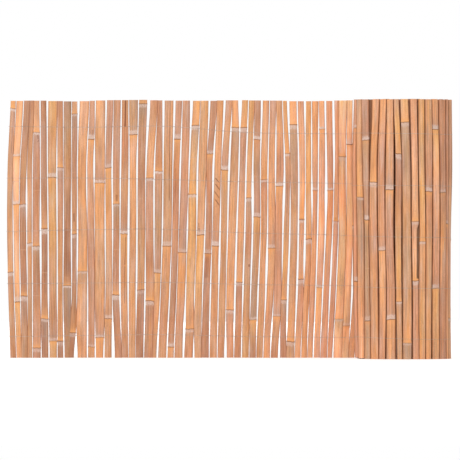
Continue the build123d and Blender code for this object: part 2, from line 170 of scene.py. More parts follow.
# Slats of the roll's outer turn, from the leaf round the right side, across the front from
# right to left and round the left side. Each has its width and the gap after it, how far
# its two edges lean along the turn at the top and at the foot, all in millimetres, the
# heights of its nodes as shares of its length, and its tones.
# Painted light: the many + steps on the slats where the turn bends away, round its right side and
# round to its left, make up for light that those sides do not get
OUTER_TURN = [
    (12.6, 1.6, (0, 0), (0, 0), (0.3,), "orange>tan>rose v gold>orange"),
    (10.5, 2.4, (0.4, 0.8), (0, -0.6), (0.7,), "gold>orange ^ grey>tan>tan"),
    (13.2, 1.2, (0.6, 0), (-0.8, 0), (0.12, 0.55), "rose>mauve v orange>rose v gold"),
    (11.4, 2.2, (0, 0.9), (0, 0.4), (0.86, 0.41), "peach ^ mauve>tan>orange ^ brown>tan"),
    (10.3, 1.8, (-0.6, -0.4), (0.5, 0), (0.64,), "tan>gold>orange ^ tan>tan>rose"),
    (12.6, 1.4, (0, 0.7), (-0.4, -0.8), (0.23,), "mauve>rose>tan>grey v orange>tan"),
    (11, 2.6, (0.8, 0.6), (0, 0.9), (0.78, 0.48), "orange>rose v gold>tan v orange>rose"),
    (12.2, 1.6, (0, -0.6), (0.5, 0), (0.35,), "gold>tan>orange>orange ^ grey>brown"),
    (10.2, 2, (-0.5, 0), (0, -0.7), (0.91, 0.06), "orange v peach>rose>tan>rose v gold"),
    (13, 1.4, (0.4, 0), (0, 0.5), (0.59,), "rose>brown>orange ^ mauve>brown>rose"),
    (11.4, 2.2, (0, 0.6), (-0.5, 0), (0.73, 0.19), "tan>gold ^ tan>rose>orange ^ grey"),
    (11, 1.8, (0.5, 0.9), (0, 0), (0.46,), "orange>rose>mauve v orange>tan>brown"),
    (18.5, 3.2, (0, 0.8), (0, -0.5), (0.157,), "++ tan>mauve>tan>mauve>tan ^ grey>tan"),
    (9.1, 2.1, (1, 1.4), (-0.6, 0), (0.52,), "+++ mauve>brown>brown v brown>orange"),
    (21.4, 2.8, (1.9, 1.9), (0, -0.6), (0.642,), "+++ brown>brown>rose v brown>orange>brown>brown"),
    (15.2, 2.3, (2, 3.6), (0, 0.5), (0.883, 0.272),
     "+++ orange>rose v gold>peach>rose>rose v gold>tan"),
    (13.3, 2.1, (2.5, 1.1), (0, 0), (0.645,), "+ tan>tan>rose>mauve v rust>tan>tan>orange"),
    (11.6, 2.6, (0.8, 2.1), (0, 0.4), (0.453,), "gold>gold>gold>orange ^ orange>orange>gold>orange"),
    (12.2, 2.3, (3.4, 4), (-2.2, -1.4), (0.529, 0.301),
     "+ rose>peach>orange ^ rose>peach>orange ^ rose"),
    (15, 2, (5.4, 6), (-0.4, 0), (0.911, 0.063), "gold>orange ^ grey>grey>tan>grey>tan>orange ^ grey"),
    (10.2, 4.1, (5.8, 2.9), (-1.6, -3.3), (0.79, 0.222),
     "- tan>gold>orange ^ mauve>brown>tan>gold>orange ^ tan"),
    (15.2, 1.1, (0.4, -1), (-4.8, -0.6), (0.652, 0.153),
     "- orange>orange>mauve v orange>rose>rose>mauve v orange"),
    (13.5, 3.5, (-1.2, -3.4), (0, -1.5), (0.418,), "orange>rose>rose>rose v orange>orange>rose"),
    (14.7, 6.2, (-4.3, -3), (-2.2, -3.5), (0.681,),
     "- peach>orange>orange ^ orange>rose>orange>orange"),
    (17.3, 1.7, (1.5, 5), (-7.5, 0), (0.842, 0.535, 0.146),
     "mauve v grey>mauve v grey>grey>grey v grey"),
    (21.1, 0.8, (5.2, 5), (-1, -3), (0.622,), "++ grey>tan>gold ^ grey>grey>tan>peach>peach"),
    (19.5, 1.6, (5.6, 3), (-3.2, -1), (0.89, 0.295), "++++ mauve v mauve>rose>mauve v rose>mauve"),
    (12.2, 1.6, (2, 0), (0, 0), (0.51,), "orange>rose ^ tan>mauve"),
    (10.8, 2.4, (0, -0.6), (0.5, 0), (0.77, 0.18), "gold>tan v orange>rose>tan v gold"),
    (13, 1.4, (-0.5, 0), (0, 0.6), (0.36,), "tan>orange>orange ^ brown>tan"),
    (11.6, 2, (0, 0.7), (-0.5, 0), (0.65,), "rose>brown v orange>rose>rose"),
    (12.4, 1.8, (0.6, 0), (0, -0.6), (0.9, 0.44), "peach ^ mauve>tan>orange ^ rose"),
    (10.4, 2.2, (0, -0.5), (-0.4, 0), (0.25,), "tan>gold>orange>tan v gold>orange"),
    (13.4, 1.4, (-0.4, 0), (0, 0.7), (0.57,), "orange>tan>orange ^ grey>tan"),
    (11.8, 2, (0, 0.8), (0.6, 0), (0.81, 0.13), "rose v orange>rose>mauve>tan v orange"),
    (12.6, 1.6, (0.7, 0), (0, -0.5), (0.69,), "gold>tan>orange ^ mauve>tan>rose"),
    (11, 2.4, (0, -0.4), (-0.5, 0), (0.38,), "orange>orange>rose v gold>tan"),
    (12.8, 2, (0, 0), (0, 0), (0.53,), "tan>rose>orange ^ grey>brown>tan"),
]

# Tones of the inner turns' slats, which are drawn at random
INNER_TONES = [
    "orange>tan", "rose>mauve", "tan>gold", "peach>orange", "brown>rose",
    "grey>tan", "gold>orange", "mauve>brown", "orange>rose",
]

# Part of a slat that is split off at its right edge: top and foot as shares of its length,
# and width in millimetres
SPLIT_OFF = {18: (0.515, 0.309, 3.4)}

# How far the slits between the roll's front slats stray towards the leaf, and how much wider
# they are, from the foot to the top, in millimetres, by the number of the slat after each
SLITS = {
    15: ([-0.8, -0.9, -3.2, -3.3, 0.3], [-1.2, -1.2, 0.8, 0.6, 0]),
    16: ([0.4, 0.2, -1.1, -2.8, -2.5], [1.6, 0.6, 0.3, 0.4, 0]),
    17: ([-0.6, -0.8, -1.2, 0, 0.2], [-0.7, -1, -0.5, 0.4, -0.4]),
    18: ([-0.2, 0, -1.4, -1, -0.8], [0.5, -0.3, -0.4, -1.3, -1.1]),
    19: ([-1.3, -1.9, -0.6, -2.1, -1], [-0.5, -0.6, -0.5, -0.6, -0.3]),
    20: ([-0.4, 0.1, 0, -2.5, -1], [0.5, 1.3, 0.6, -1.2, 1]),
    21: ([1.6, 1.2, 2, 0.1, 1.6], [0.6, -1.4, -0.5, 1, -0.9]),
    22: ([1, -0.6, 1.9, 2.4, 0], [0.8, -0.1, -0.2, 1.8, -0.2]),
    23: ([1.1, 0.7, 2.3, 4.8, 1.4], [-1.4, 0, -0.9, -0.7, -1.2]),
    24: ([4, 3.5, 3.7, 2.6, 0.3], [-1.1, -2.3, -3.6, -4.3, 0.5]),
    25: ([-4, -5, -4.5, -1, 0], [0, 0, 0, 0, 0]),
}

# How far the feet of some of these slats stand off the ground, in millimetres
LIFTED_FEET = {24: 0.6, 25: 1.6, 26: 3, 27: 3.4, 28: 2.6, 29: 1.5}

# How far the outer turn bulges at its right and left sides, by their angles on the spiral,
# from the foot to the top, in millimetres
BULGES = {
    math.radians(90): [-1.4, -2.1, -1.6, 1.2, 0.2],
    math.radians(270): [-0.6, 2.9, 4, 4.7, 1.2],
}
BULGE_REACH = math.radians(36)

# Dark streaks and scratches on some of the leaf's slats. Each has its top and foot as
# shares of the slat's length, its place across at the top and at the foot and its half
# width as shares of the slat's half width, and its strength.
STREAKS = {
    3: [(0.68, 0.6, -0.95, -0.9, 0.22, 0.6)],
    5: [(0.87, 0.85, 0.3, 0.5, 0.3, 0.6), (0.848, 0.838, 0.8, 0.2, 0.25, 0.5)],
    6: [(0.508, 0.498, 0, 0, 1, 0.4)],
    9: [(0.505, 0.315, -0.1, -0.1, 0.95, 0.22), (0.41, 0.325, -0.4, -0.3, 0.35, 0.25)],
    10: [(0.565, 0.53, -0.2, -0.1, 0.35, 0.6), (0.5, 0.493, -0.7, 0.5, 0.35, 0.55)],
    12: [(0.888, 0.866, 0.3, 0.4, 0.3, 0.45), (0.66, 0.58, 0.5, 0.6, 0.12, 0.4)],
    15: [(0.634, 0.606, 0.1, 0.1, 0.5, 0.6)],
    16: [
        (1, 0.895, 0.15, 0, 0.34, 0.85),
        (0.47, 0.36, 0.5, 0.3, 0.16, 0.8),
        (0.355, 0.21, 0.3, 0.1, 0.14, 0.55),
    ],
    18: [(0.44, 0.36, -0.4, -0.5, 0.12, 0.4)],
    21: [(1, 0.61, 0.25, 0.35, 0.13, 0.65)],
    22: [(0.74, 0.6, -0.2, -0.1, 0.1, 0.4), (0.57, 0.45, 0.75, 0.95, 0.15, 0.5)],
    25: [(0.525, 0.507, -0.6, -0.5, 0.14, 0.6), (0.505, 0.486, -0.5, -0.3, 0.4, 0.6)],
    26: [(0.52, 0.43, 0.2, 0.3, 0.14, 0.45), (0.405, 0.31, -0.2, -0.1, 0.8, 0.28)],
    27: [
        (0.7, 0.68, -0.7, 0.6, 0.2, 0.9),
        (0.676, 0.652, -0.6, 0.8, 0.2, 0.9),
        (0.648, 0.62, -0.8, 0.7, 0.18, 0.85),
        (0.616, 0.592, -0.5, 0.8, 0.22, 0.9),
    ],
    31: [(0.364, 0.352, 0.5, 0.5, 0.35, 0.7)],
    34: [(0.7, 0.62, 0.5, 0.55, 0.12, 0.4)],
    36: [(0.69, 0.56, -0.2, 0, 0.3, 0.35)],
    38: [(0.546, 0.531, 0, 0, 1, 0.6), (0.46, 0.4, 0, 0.4, 0.16, 0.45)],
    43: [(0.546, 0.532, -0.2, -0.1, 0.7, 0.5)],
}

# Roll, as the frame has it: its turns follow a spiral
ROLL_RADIUS = 95.3 * MM
ROLL_RIGHT_REACH = 96.2 * MM
ROLL_CORE_RADIUS = 14.0 * MM
TURN_PITCH = 6.7 * MM
INNER_SLAT_PITCH = 12.5 * MM
LEAF_Y = (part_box("slat_30")[0].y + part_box("slat_30")[1].y) / 2
ROLL_AXIS = Vector((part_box("wound_roll")[1].x - ROLL_RIGHT_REACH, LEAF_Y - ROLL_RADIUS, 0.0))
WIRE_TAIL = 2.0 * MM
FREE_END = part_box("binding_wire_3")[0].x + WIRE_TAIL
ROLL_WIRE_ROWS = [40 * MM, 139.5 * MM, 239 * MM, 338.5 * MM, 438 * MM]
LEAF_END_WIRE_ROWS = [45 * MM, 146 * MM, 247 * MM, 348 * MM, 449 * MM]

# How far each row strays from its line, in millimetres, from the foot row up: at even
# places from the free end to the roll's middle, and then at the quarters of the outer turn
LEAF_WIRE_SWAY = [
    (-3.5, -0.5, 2, -0.5, -1, -1.5),
    (-2, 0.5, 3, 0.5, 0, -1),
    (-1.5, 3.5, 6, 0.5, -1.5, -3),
    (1, 3, 2, -0.5, -1, -3),
    (0.5, 1, 5, -4.5, -5, -4),
]
ROLL_WIRE_SWAY = [
    (-2, -1, 3.5, 0),
    (-4, -3, 0, -1),
    (-6, -4.5, -2, -2),
    (-6, -5, -4.5, -3),
    (-6, -5, -2.5, -3),
]

SLAT_LENGTH = 500.0 * MM
HALF_THICKNESS = 2.2 * MM
SHARP_ANGLE = math.radians(42)

# Rows of a slat's guide lie this far apart, and the rows at a node one millimetre apart,
# this many to each side
ROW_SPACING = 9 * MM
INNER_ROW_SPACING = 125 * MM
NODE_ROWS = 5

# The least that a node's ridge stands out of the frame's slats, and the height of a ridge
LEAST_RIDGE = 0.35 * MM
RIDGE_HEIGHT = 3 * MM

# Seeds of the roll's first outer and inner slats, and the step from one node to the next
OUTER_SEED = 100
INNER_SEED = 200
NODE_SEED_STEP = 0.37

# A wire's strands: how far off the slats' faces they lie as a share of their radius, how
# far inside the edges they bend on the leaf and on the roll, and how far out they stay
# between the roll's slats, as a share of the way to the faces
STRAND_CLEARANCE = 1.15
LEAF_BEND = 0.1 * MM
ROLL_BEND = 0.2 * MM
STRAND_PINCH = 0.72

# Sides of a strand, steps of its tail and of its twist in a gap, and the least gap with one
WIRE_SIDES = 6
TAIL_STEPS = 5
TWIST_STEPS = 4
TWIST_ROOM = 0.8 * MM

# How far a split edge stands past the frame's, at the quarter heights from the foot up, and
# past the middle of a gap that it closes, in millimetres. Slats meet where the frame has
# them closer than the closing gap.
SPLIT_EASE = [0.46, 0.08, 0.22, 0.32, 0.32]
MEETING_EASE = 0.24
CLOSING_GAP = 1.0

# How much wider some gaps of the leaf are than the frame's, and how far some stray towards
# the roll, from the foot to the top, in millimetres, by the number of the slat before each
GAP_WIDENING = {
    4: [0.5, -1, -0.7, 0.4, 0],
    5: [0.4, -1, -1.1, -1.1, -0.3],
    13: [-0.4, -0.7, -1.2, -1.5, 0],
    14: [0, -0.2, 0.1, 1.1, 0],
    16: [0.2, -0.3, 0.4, -1, -0.5],
    18: [-0.1, -0.8, -1.2, 1, 0.3],
    19: [0.2, 0, -1.1, 1, 0],
    21: [0.9, 0, -1.6, -0.9, -0.4],
    22: [-1, -1.2, -1, 0.9, -0.3],
    24: [-0.9, -0.5, 0, 1.5, 0],
    25: [0, 0, 1.2, 0, 1.1],
    26: [-1, -0.5, -1.1, 0.4, 0],
    27: [-0.2, 1.4, 0.6, -0.9, 1.1],
    28: [0.2, -0.1, 0.2, 1.1, 0],
    29: [0, 1.6, 0.7, 0.4, 0.7],
    30: [-0.5, 0.6, 0.7, 1.4, 0],
    31: [0, -1.6, 0, 0.7, 0],
    32: [0.2, -0.8, 0.3, 0.4, 0.2],
    33: [0.5, 1.2, 0.3, 0, -0.3],
    34: [-0.4, 0.6, 0, 1.5, 0],
    35: [1.2, 0, -0.3, -1, 0.5],
    36: [0, -0.1, 1.5, 0, 1.7],
    40: [0.6, 0, 1.2, 0.5, 0.2],
    41: [0.4, 1.1, 0.9, 0.2, 0.8],
    42: [0.1, 1.4, 0.6, 1, 1.1],
    44: [0, 0.4, 0, -1.1, 0],
}
GAP_SHIFT = {
    19: [0, 0, -0.3, -1.4, 0],
    24: [0, 0, 0, -1.1, 0],
    25: [0, 0, 0, 0, -1],
    28: [-0.6, 0, -1.1, 0, 0],
    29: [0, 0.3, -1.2, 0.3, -0.4],
    30: [0, -0.3, -1.5, -0.5, 0],
    31: [0, 1, -0.6, -0.6, 0],
    32: [0, 0, 0, -1.4, 0],
    33: [0, -0.6, 0, 0, 0],
    35: [-0.8, 0, 0, 0.6, 0],
    36: [0, 0, 0, 0, -0.6],
    40: [-0.7, 0, -1, 0, 0],
}
NO_CHANGE = [0] * 5

# How much wider still some gaps are half way between those heights, from the foot up
GAP_WIDENING_BETWEEN = {
    3: [0, 0.4, 2.1, 0],
    5: [-2, 0.6, -0.3, 0.2],
    6: [-1.7, -0.3, 0, -0.5],
    7: [-1.3, -0.6, 0.3, 0],
    9: [-1.7, 0.1, 0, 0.6],
    10: [-4.2, 1, -0.7, -1],
    11: [0, -0.5, 1, 0.3],
    12: [-0.2, 0, -1.6, -2.4],
    13: [-1.6, 0, 0, 0.2],
    17: [-0.9, 0, -0.7, -1.1],
    23: [1.9, -1.5, -2, -1.2],
    24: [-3.3, -0.6, 0.6, -0.5],
    25: [0, 0.2, 0.8, 0.2],
    27: [0, 1.3, -0.3, 0.6],
    28: [-1.4, 0.1, -0.6, 1.3],
    29: [0.9, 0.1, -0.2, -2.6],
    30: [-1.5, -0.3, 0, 0.6],
    31: [-1.4, 0.3, 1.8, 0.2],
    33: [-1.1, 1.6, -1, -0.3],
    34: [1.8, 0, -0.7, 0.9],
    35: [-1.2, 0.9, 1.7, -0.3],
    36: [1.3, -0.5, 0.8, 0.9],
    38: [0, 2.4, -0.8, -0.7],
    39: [1.4, 0, 2.2, 0.5],
    40: [0, 0.2, 0, 1.3],
    41: [0, -0.6, 2.1, -1.1],
    42: [-0.8, 0.7, -1.5, 0.5],
    43: [-1.2, 0.6, 0, 0],
}

# How far the slats' tops fall short, at even places from the free end to the roll, in mm
TOP_TRIM = [1, 0.6, 2, 0, -1, 0.3, 0.9, 0, 0.2, 1.9, 0.6, -1, -1]

# Cross-section of a slat, once round, as shares of its half width and half thickness.
# The cane's skin side is the upper one.
SLAT_SECTION = [
    (-0.88, -0.86), (-0.45, -0.97), (0, -1), (0.45, -0.97), (0.88, -0.86),
    (0.96, -0.74), (1, -0.4), (1, 0.4), (0.96, 0.72), (0.88, 0.84),
    (0.45, 0.96), (0, 1), (-0.45, 0.96), (-0.88, 0.84), (-0.96, 0.72),
    (-1, 0.4), (-1, -0.4), (-0.96, -0.74),
]
INNER_SECTION = [
    (-0.94, -1), (0, -0.96), (0.94, -1), (1, -0.6), (1, 0.45),
    (0.9, 0.84), (0, 1), (-0.9, 0.84), (-1, 0.45), (-1, -0.6),
]


def random_streaks():
    """Now and then one faint streak at a random place."""
    if random.random() > 0.45:
        return []
    top = random.uniform(0.3, 1.0)
    foot = max(top - random.uniform(0.08, 0.5), 0.0)
    place = random.uniform(-0.7, 0.7)
    lean = random.uniform(-0.15, 0.15)
    return [(top, foot, place, place + lean, random.uniform(0.08, 0.16), random.uniform(0.2, 0.5))]


# Helpers


def linear(display):
    """Linear colour for a display colour."""
    return [c / 12.92 if c <= 0.04045 else ((c + 0.055) / 1.055) ** 2.4 for c in display]


def smooth_between(values, share):
    """Catmull-Rom curve through evenly spaced values, share from 0 to 1."""
    place = share * (len(values) - 1)
    i = min(int(place), len(values) - 2)
    t = place - i
    before = values[max(i - 1, 0)]
    after = values[min(i + 2, len(values) - 1)]
    a, b = values[i], values[i + 1]
    bend = t * (3 * (a - b) + after - before)
    return a + 0.5 * t * (b - before + t * (2 * before - 5 * a + 4 * b - after + bend))


def soft(near):
    """Smooth step from 0 to 1."""
    return near * near * (3 - 2 * near)


def add_object(name, data):
    piece = bpy.data.objects.new(name, data)
    bpy.context.collection.objects.link(piece)
    return piece


def mesh_object(name, points, edges, faces=()):
    mesh = bpy.data.meshes.new(name)
    mesh.from_pydata([tuple(point) for point in points], edges, list(faces))
    return add_object(name, mesh)


class Nodes:
    """Adds nodes to one tree, sets or links their inputs, and lays them out in a row."""

    def __init__(self, tree):
        self.tree = tree

    def set(self, node, inputs):
        for socket, value in inputs.items():
            if isinstance(value, bpy.types.NodeSocket):
                self.tree.links.new(value, node.inputs[socket])
            else:
                node.inputs[socket].default_value = value

    def add(self, kind, inputs=None, **settings):
        """Adds a node and returns its outputs."""
        node = self.tree.nodes.new(kind)
        node.location = (180 * len(self.tree.nodes), 0)
        for name, value in settings.items():
            setattr(node, name, value)
        self.set(node, inputs or {})
        return node.outputs

    def math(self, operation, first, second=0.0, third=0.0, clamp=False):
        inputs = {0: first, 1: second, 2: third}
        return self.add("ShaderNodeMath", inputs, operation=operation, use_clamp=clamp)[0]

    def plus(self, first, second):
        return self.math("ADD", first, second)

    def minus(self, first, second):
        return self.math("SUBTRACT", first, second)

    def times(self, first, second, clamp=False):
        return self.math("MULTIPLY", first, second, clamp=clamp)

    def times_plus(self, first, second, third):
        return self.math("MULTIPLY_ADD", first, second, third)

    def size(self, value):
        return self.math("ABSOLUTE", value)

    def vector(self, operation, first, second=(0.0, 0.0, 0.0)):
        return self.add("ShaderNodeVectorMath", {0: first, 1: second}, operation=operation)[0]

    def scaled(self, vector, scale):
        inputs = {0: vector, "Scale": scale}
        return self.add("ShaderNodeVectorMath", inputs, operation="SCALE")[0]

    def combine(self, x, y, z):
        return self.add("ShaderNodeCombineXYZ", {0: x, 1: y, 2: z})[0]

    def separate(self, vector):
        return self.add("ShaderNodeSeparateXYZ", {0: vector})

    def noise(self, vector, detail, roughness=0.5, scale=1.0):
        inputs = {"Vector": vector, "Scale": scale, "Detail": detail, "Roughness": roughness}
        return self.add("ShaderNodeTexNoise", inputs)[0]

    def ramp(self, value, low, high, to_low=0.0, to_high=1.0):
        inputs = {"Value": value, "From Min": low, "From Max": high}
        inputs.update({"To Min": to_low, "To Max": to_high})
        return self.add("ShaderNodeMapRange", inputs, interpolation_type="SMOOTHSTEP")[0]

    def blend(self, factor, first, second, mode="MIX"):
        inputs = {0: factor, 6: first, 7: second}
        return self.add("ShaderNodeMix", inputs, data_type="RGBA", blend_type=mode)[2]

    def put_out(self, *values):
        """Ends a group with its outputs, and returns its tree."""
        self.add("NodeGroupOutput", dict(enumerate(values)))
        return self.tree


SOCKET_KINDS = {float: "Float", int: "Int", tuple: "Color"}


def new_group(name, kind, inputs, outputs):
    """Nodes of a new group, and its inputs. A socket's kind is named or its default shows it."""
    tree = bpy.data.node_groups.new(name, kind)
    for label, default in inputs.items():
        named = isinstance(default, str)
        socket_type = "NodeSocket" + (default if named else SOCKET_KINDS[type(default)])
        socket = tree.interface.new_socket(label, in_out="INPUT", socket_type=socket_type)
        if not named:
            socket.default_value = default
    for label, socket_kind in outputs.items():
        tree.interface.new_socket(label, in_out="OUTPUT", socket_type="NodeSocket" + socket_kind)
    n = Nodes(tree)
    return n, n.add("NodeGroupInput")


def new_material(name):
    """A material, its nodes, and its surface shader."""
    material = bpy.data.materials.new(name)
    material.use_nodes = True
    tree = material.node_tree
    return material, Nodes(tree), tree.nodes["Principled BSDF"]


# Guide lines


# Values that the sweep and the materials read at each row of a slat
ROW_VALUES = {
    "across": "FLOAT_VECTOR",
    "through": "FLOAT_VECTOR",
    "middle": "FLOAT_VECTOR",
    "tone": "FLOAT_COLOR",
    "from_node": "FLOAT",
    "node_seed": "FLOAT",
    "seed": "FLOAT",
    "streak": "FLOAT_VECTOR",
}
VALUE_FIELDS = {"FLOAT_VECTOR": "vector", "FLOAT_COLOR": "color", "FLOAT": "value"}


def guide_object(lines):
    """Poly lines as a mesh of edges."""
    points, edges = [], []
    for line in lines:
        first = len(points)
        points += line
        edges += [(i, i + 1) for i in range(first, len(points) - 1)]
    return mesh_object("guides", points, edges)


def slat_guides(slats):
    """Guide lines of slats, each a list of rows, with the values at each row."""
    guides = guide_object([[row["middle"] for row in rows] for rows in slats])
    for name, kind in ROW_VALUES.items():
        attribute = guides.data.attributes.new(name, kind, "POINT")
        values = [row[name] for rows in slats for row in rows]
        for place, value in enumerate(values):
            setattr(attribute.data[place], VALUE_FIELDS[kind], value)
    return guides


def section_object(points):
    """Closed outline in the XY plane, for the sweep."""
    edges = [(i, (i + 1) % len(points)) for i in range(len(points))]
    return mesh_object("slat_section", [(u, v, 0.0) for u, v in points], edges)


def read_tones(text):
    """Segments of a slat from the foot up, whether gold is below each node, and lightness."""
    segments, gold_below = [[]], []
    lightness = 1 + LIGHTNESS_STEP * (text.count("+") - text.count("-"))
    for word in reversed(text.strip("+- ").split()):
        if word in ("v", "^"):
            segments.append([])
            gold_below.append(word == "v")
        else:
            segments[-1] += [PALETTE[tone] for tone in reversed(word.split(">"))]
    return segments, gold_below, lightness


def tone_at(segments, bounds, height):
    """Display colour of a slat at a height: tones blend evenly along each segment."""
    index = sum(height > bound for bound in bounds)
    low = bounds[index - 1] if index else 0.0
    high = bounds[index] if index < len(bounds) else SLAT_LENGTH
    tones = segments[min(index, len(segments) - 1)]
    place = min(max((height - low) / max(high - low, 1e-6), 0), 1) * (len(tones) - 1)
    below = min(int(place), max(len(tones) - 2, 0))
    above = min(below + 1, len(tones) - 1)
    share = place - below
    return [a + (b - a) * share for a, b in zip(tones[below], tones[above])]


def streak_at(streaks, height):
    """Place across, half width and strength of the streak at a height."""
    for top, foot, top_place, foot_place, width, strength in streaks:
        top, foot = top * SLAT_LENGTH, foot * SLAT_LENGTH
        if foot <= height <= top:
            share = (height - foot) / (top - foot)
            fade = min(1.0, (top - height) / MM, (height - foot) / MM)
            return (foot_place + (top_place - foot_place) * share, width, strength * fade)
    return (0.0, 0.1, 0.0)


def row_heights(nodes, streaks, spacing):
    """Heights of a slat's rows: evenly spaced, and closer at the nodes and streak ends."""
    steps = round(SLAT_LENGTH / spacing)
    heights = [SLAT_LENGTH * step / steps for step in range(steps + 1)]
    for streak in streaks:
        for share in streak[:2]:
            heights += [share * SLAT_LENGTH + step * MM for step in (-1, 0, 1)]
    for node in nodes:
        heights = [z for z in heights if abs(z - node) > NODE_ROWS * MM]
        heights += [node + step * MM for step in range(-NODE_ROWS, NODE_ROWS + 1)]
    return sorted(z for z in heights if 0 <= z <= SLAT_LENGTH)


def slat_rows(nodes, streaks, text, place, seed, trim, shade, spacing=ROW_SPACING):
    """Rows of one slat. place(height) gives its middle, half width vector and through vector."""
    segments, gold_below, lightness = read_tones(text)
    rows = []
    for height in row_heights(nodes, streaks, spacing):
        middle, across, through = place(height)
        share = height / SLAT_LENGTH
        middle.z = trim[0] + (SLAT_LENGTH - trim[0] - trim[1]) * share
        # shade is the painted light and shade, scaling the tone from the foot to the top; lightness
        # holds the + and - steps
        level = lightness * (shade[0] + (shade[1] - shade[0]) * share)
        colour = [level * c for c in tone_at(segments, nodes, height)]
        offset, nearest = 1.0, 0
        if nodes:
            nearest = min(range(len(nodes)), key=lambda i: abs(nodes[i] - height))
            offset = height - nodes[nearest]
            if gold_below[min(nearest, len(gold_below) - 1)]:
                offset = -offset
        rows.append({
            "middle": middle,
            "across": across,
            "through": through,
            "tone": (*linear(colour), 1.0),
            "from_node": offset,
            "node_seed": seed + NODE_SEED_STEP * nearest,
            "seed": seed,
            "streak": streak_at(streaks, height),
        })
    return rows


# Leaf


def leaf_nodes():
    """Names of the leaf's slats, from its free end to the roll."""
    return sorted(name for name in frame["nodes"] if name.startswith("slat_"))


def read_slat(node):
    """Edges of a CAD slat at the quarter heights, its nodes' heights, and its middle in y."""
    mesh = frame["nodes"][node].data
    sides = ({}, {})
    for face in mesh.polygons:
        if abs(face.normal.x) > 0.5:
            side = sides[face.normal.x > 0]
            for index in face.vertices:
                x, _, z = mesh.vertices[index].co
                side.setdefault(round(z, 5), []).append(x)
    left = {z: min(found) for z, found in sides[0].items()}
    right = {z: max(found) for z, found in sides[1].items()}
    quarters = [SLAT_LENGTH * quarter / 4 for quarter in range(5)]
    edges = [(read_between(left, z), read_between(right, z)) for z in quarters]
    low = min(vertex.co.y for vertex in mesh.vertices)
    high = max(vertex.co.y for vertex in mesh.vertices)
    nodes = []
    if high - low > 2 * (HALF_THICKNESS + LEAST_RIDGE):
        ridge = [v.co.z for v in mesh.vertices if v.co.y > high - LEAST_RIDGE]
        nodes = merge_close(sorted(ridge))
    return edges, nodes, (low + high) / 2


def read_between(levels, z):
    """Value at a height, straight between the levels read."""
    below = max((level for level in levels if level <= z + 1e-6), default=min(levels))
    above = min((level for level in levels if level >= z - 1e-6), default=max(levels))
    if above - below < 1e-6:
        return levels[below]
    return levels[below] + (levels[above] - levels[below]) * (z - below) / (above - below)


def merge_close(heights):
    """Middles of groups of heights that lie within a ridge's height."""
    groups = []
    for z in heights:
        if groups and z - groups[-1][-1] < RIDGE_HEIGHT:
            groups[-1].append(z)
        else:
            groups.append([z])
    return [sum(group) / len(group) for group in groups]


def leaf_share(x):
    """Where a place lies from the leaf's free end to the roll's middle."""
    return (x - FREE_END) / (ROLL_AXIS.x - FREE_END)


def leaf_trim(x):
    """How far a slat's foot and top fall short of the frame's, in metres, by its place."""
    wander = random.uniform(-0.3, 0.3) * MM
    top = smooth_between(TOP_TRIM, leaf_share(x)) * MM + wander
    return random.uniform(0.0, 0.35) * MM, top


def ease_edges(slats):
    """Moves the slats' edges out a little, and lets slats that stand close meet."""
    eased = [[list(pair) for pair in edges] for edges, _, _ in slats]
    for level, ease in enumerate(SPLIT_EASE):
        eased[0][level][0] -= ease * MM
        eased[-1][level][1] += ease * MM
        for number, (left, right) in enumerate(zip(eased, eased[1:]), 1):
            wider = GAP_WIDENING.get(number, NO_CHANGE)[level]
            shift = GAP_SHIFT.get(number, NO_CHANGE)[level]
            gap = (right[level][0] - left[level][1]) / MM
            near = max(1 - gap / CLOSING_GAP, 0)
            reach = ease + max(gap / 2 + MEETING_EASE - ease, 0) * near
            reach = min(reach - wider / 2, max(reach, gap / 2 + MEETING_EASE))
            left[level][1] += (reach + shift) * MM
            right[level][0] -= (reach - shift) * MM
    return eased


def widened_between(number, share):
    """How much wider the gap after a slat is, at a share of its length, in metres."""
    wider = 0.0
    for index, reach in enumerate(GAP_WIDENING_BETWEEN.get(number, [])):
        wider += reach * soft(max(1 - abs(share * 8 - (2 * index + 1)), 0))
    return wider * MM


def edges_at(edges, share):
    """Left and right edge of a slat at a share of its length."""
    return [smooth_between([pair[side] for pair in edges], share) for side in (0, 1)]


def leaf_place(edges, leaf_y, number):
    """Place function of a leaf slat."""
    def place(height):
        share = height / SLAT_LENGTH
        left, right = edges_at(edges, share)
        left += widened_between(number - 1, share) / 2
        right -= widened_between(number, share) / 2
        middle = Vector(((left + right) / 2, leaf_y, height))
        across = Vector(((right - left) / 2, 0, 0))
        return middle, across, Vector((0, HALF_THICKNESS, 0))
    return place


# Roll


def spiral_radius_at(angle):
    return ROLL_RADIUS - TURN_PITCH * angle / (2 * math.pi)


def on_spiral(angle):
    """Point on the mat's middle line, going clockwise from the roll's back."""
    radius = spiral_radius_at(angle)
    return ROLL_AXIS + Vector((radius * math.sin(angle), radius * math.cos(angle), 0))


def next_angle(angle, chord):
    return angle + 2 * math.asin(chord / (2 * spiral_radius_at(angle)))


def outer_turn_joints():
    """Spiral angles where the outer turn's slats meet."""
    angles = [0.0]
    gap_before = 0.0
    for width, gap, *_ in OUTER_TURN:
        chord = (gap_before / 2 + width + gap / 2) * MM
        angles.append(next_angle(angles[-1], chord))
        gap_before = gap
    return angles


def inner_turn_joints():
    """Spiral angles where the inner turns' slats meet, from the outer turn's end."""
    angles = outer_turn_joints()[-1:]
    while spiral_radius_at(angles[-1]) > ROLL_CORE_RADIUS:
        angles.append(next_angle(angles[-1], INNER_SLAT_PITCH))
    return angles


def outer_turn_slats():
    """Each slat of the outer turn: its table row, chord, middle angle and first edge."""
    angles = outer_turn_joints()
    gap_before = 0.0
    for row, first, last in zip(OUTER_TURN, angles, angles[1:]):
        yield row, (on_spiral(first), on_spiral(last)), (first + last) / 2, gap_before / 2 * MM
        gap_before = row[1]


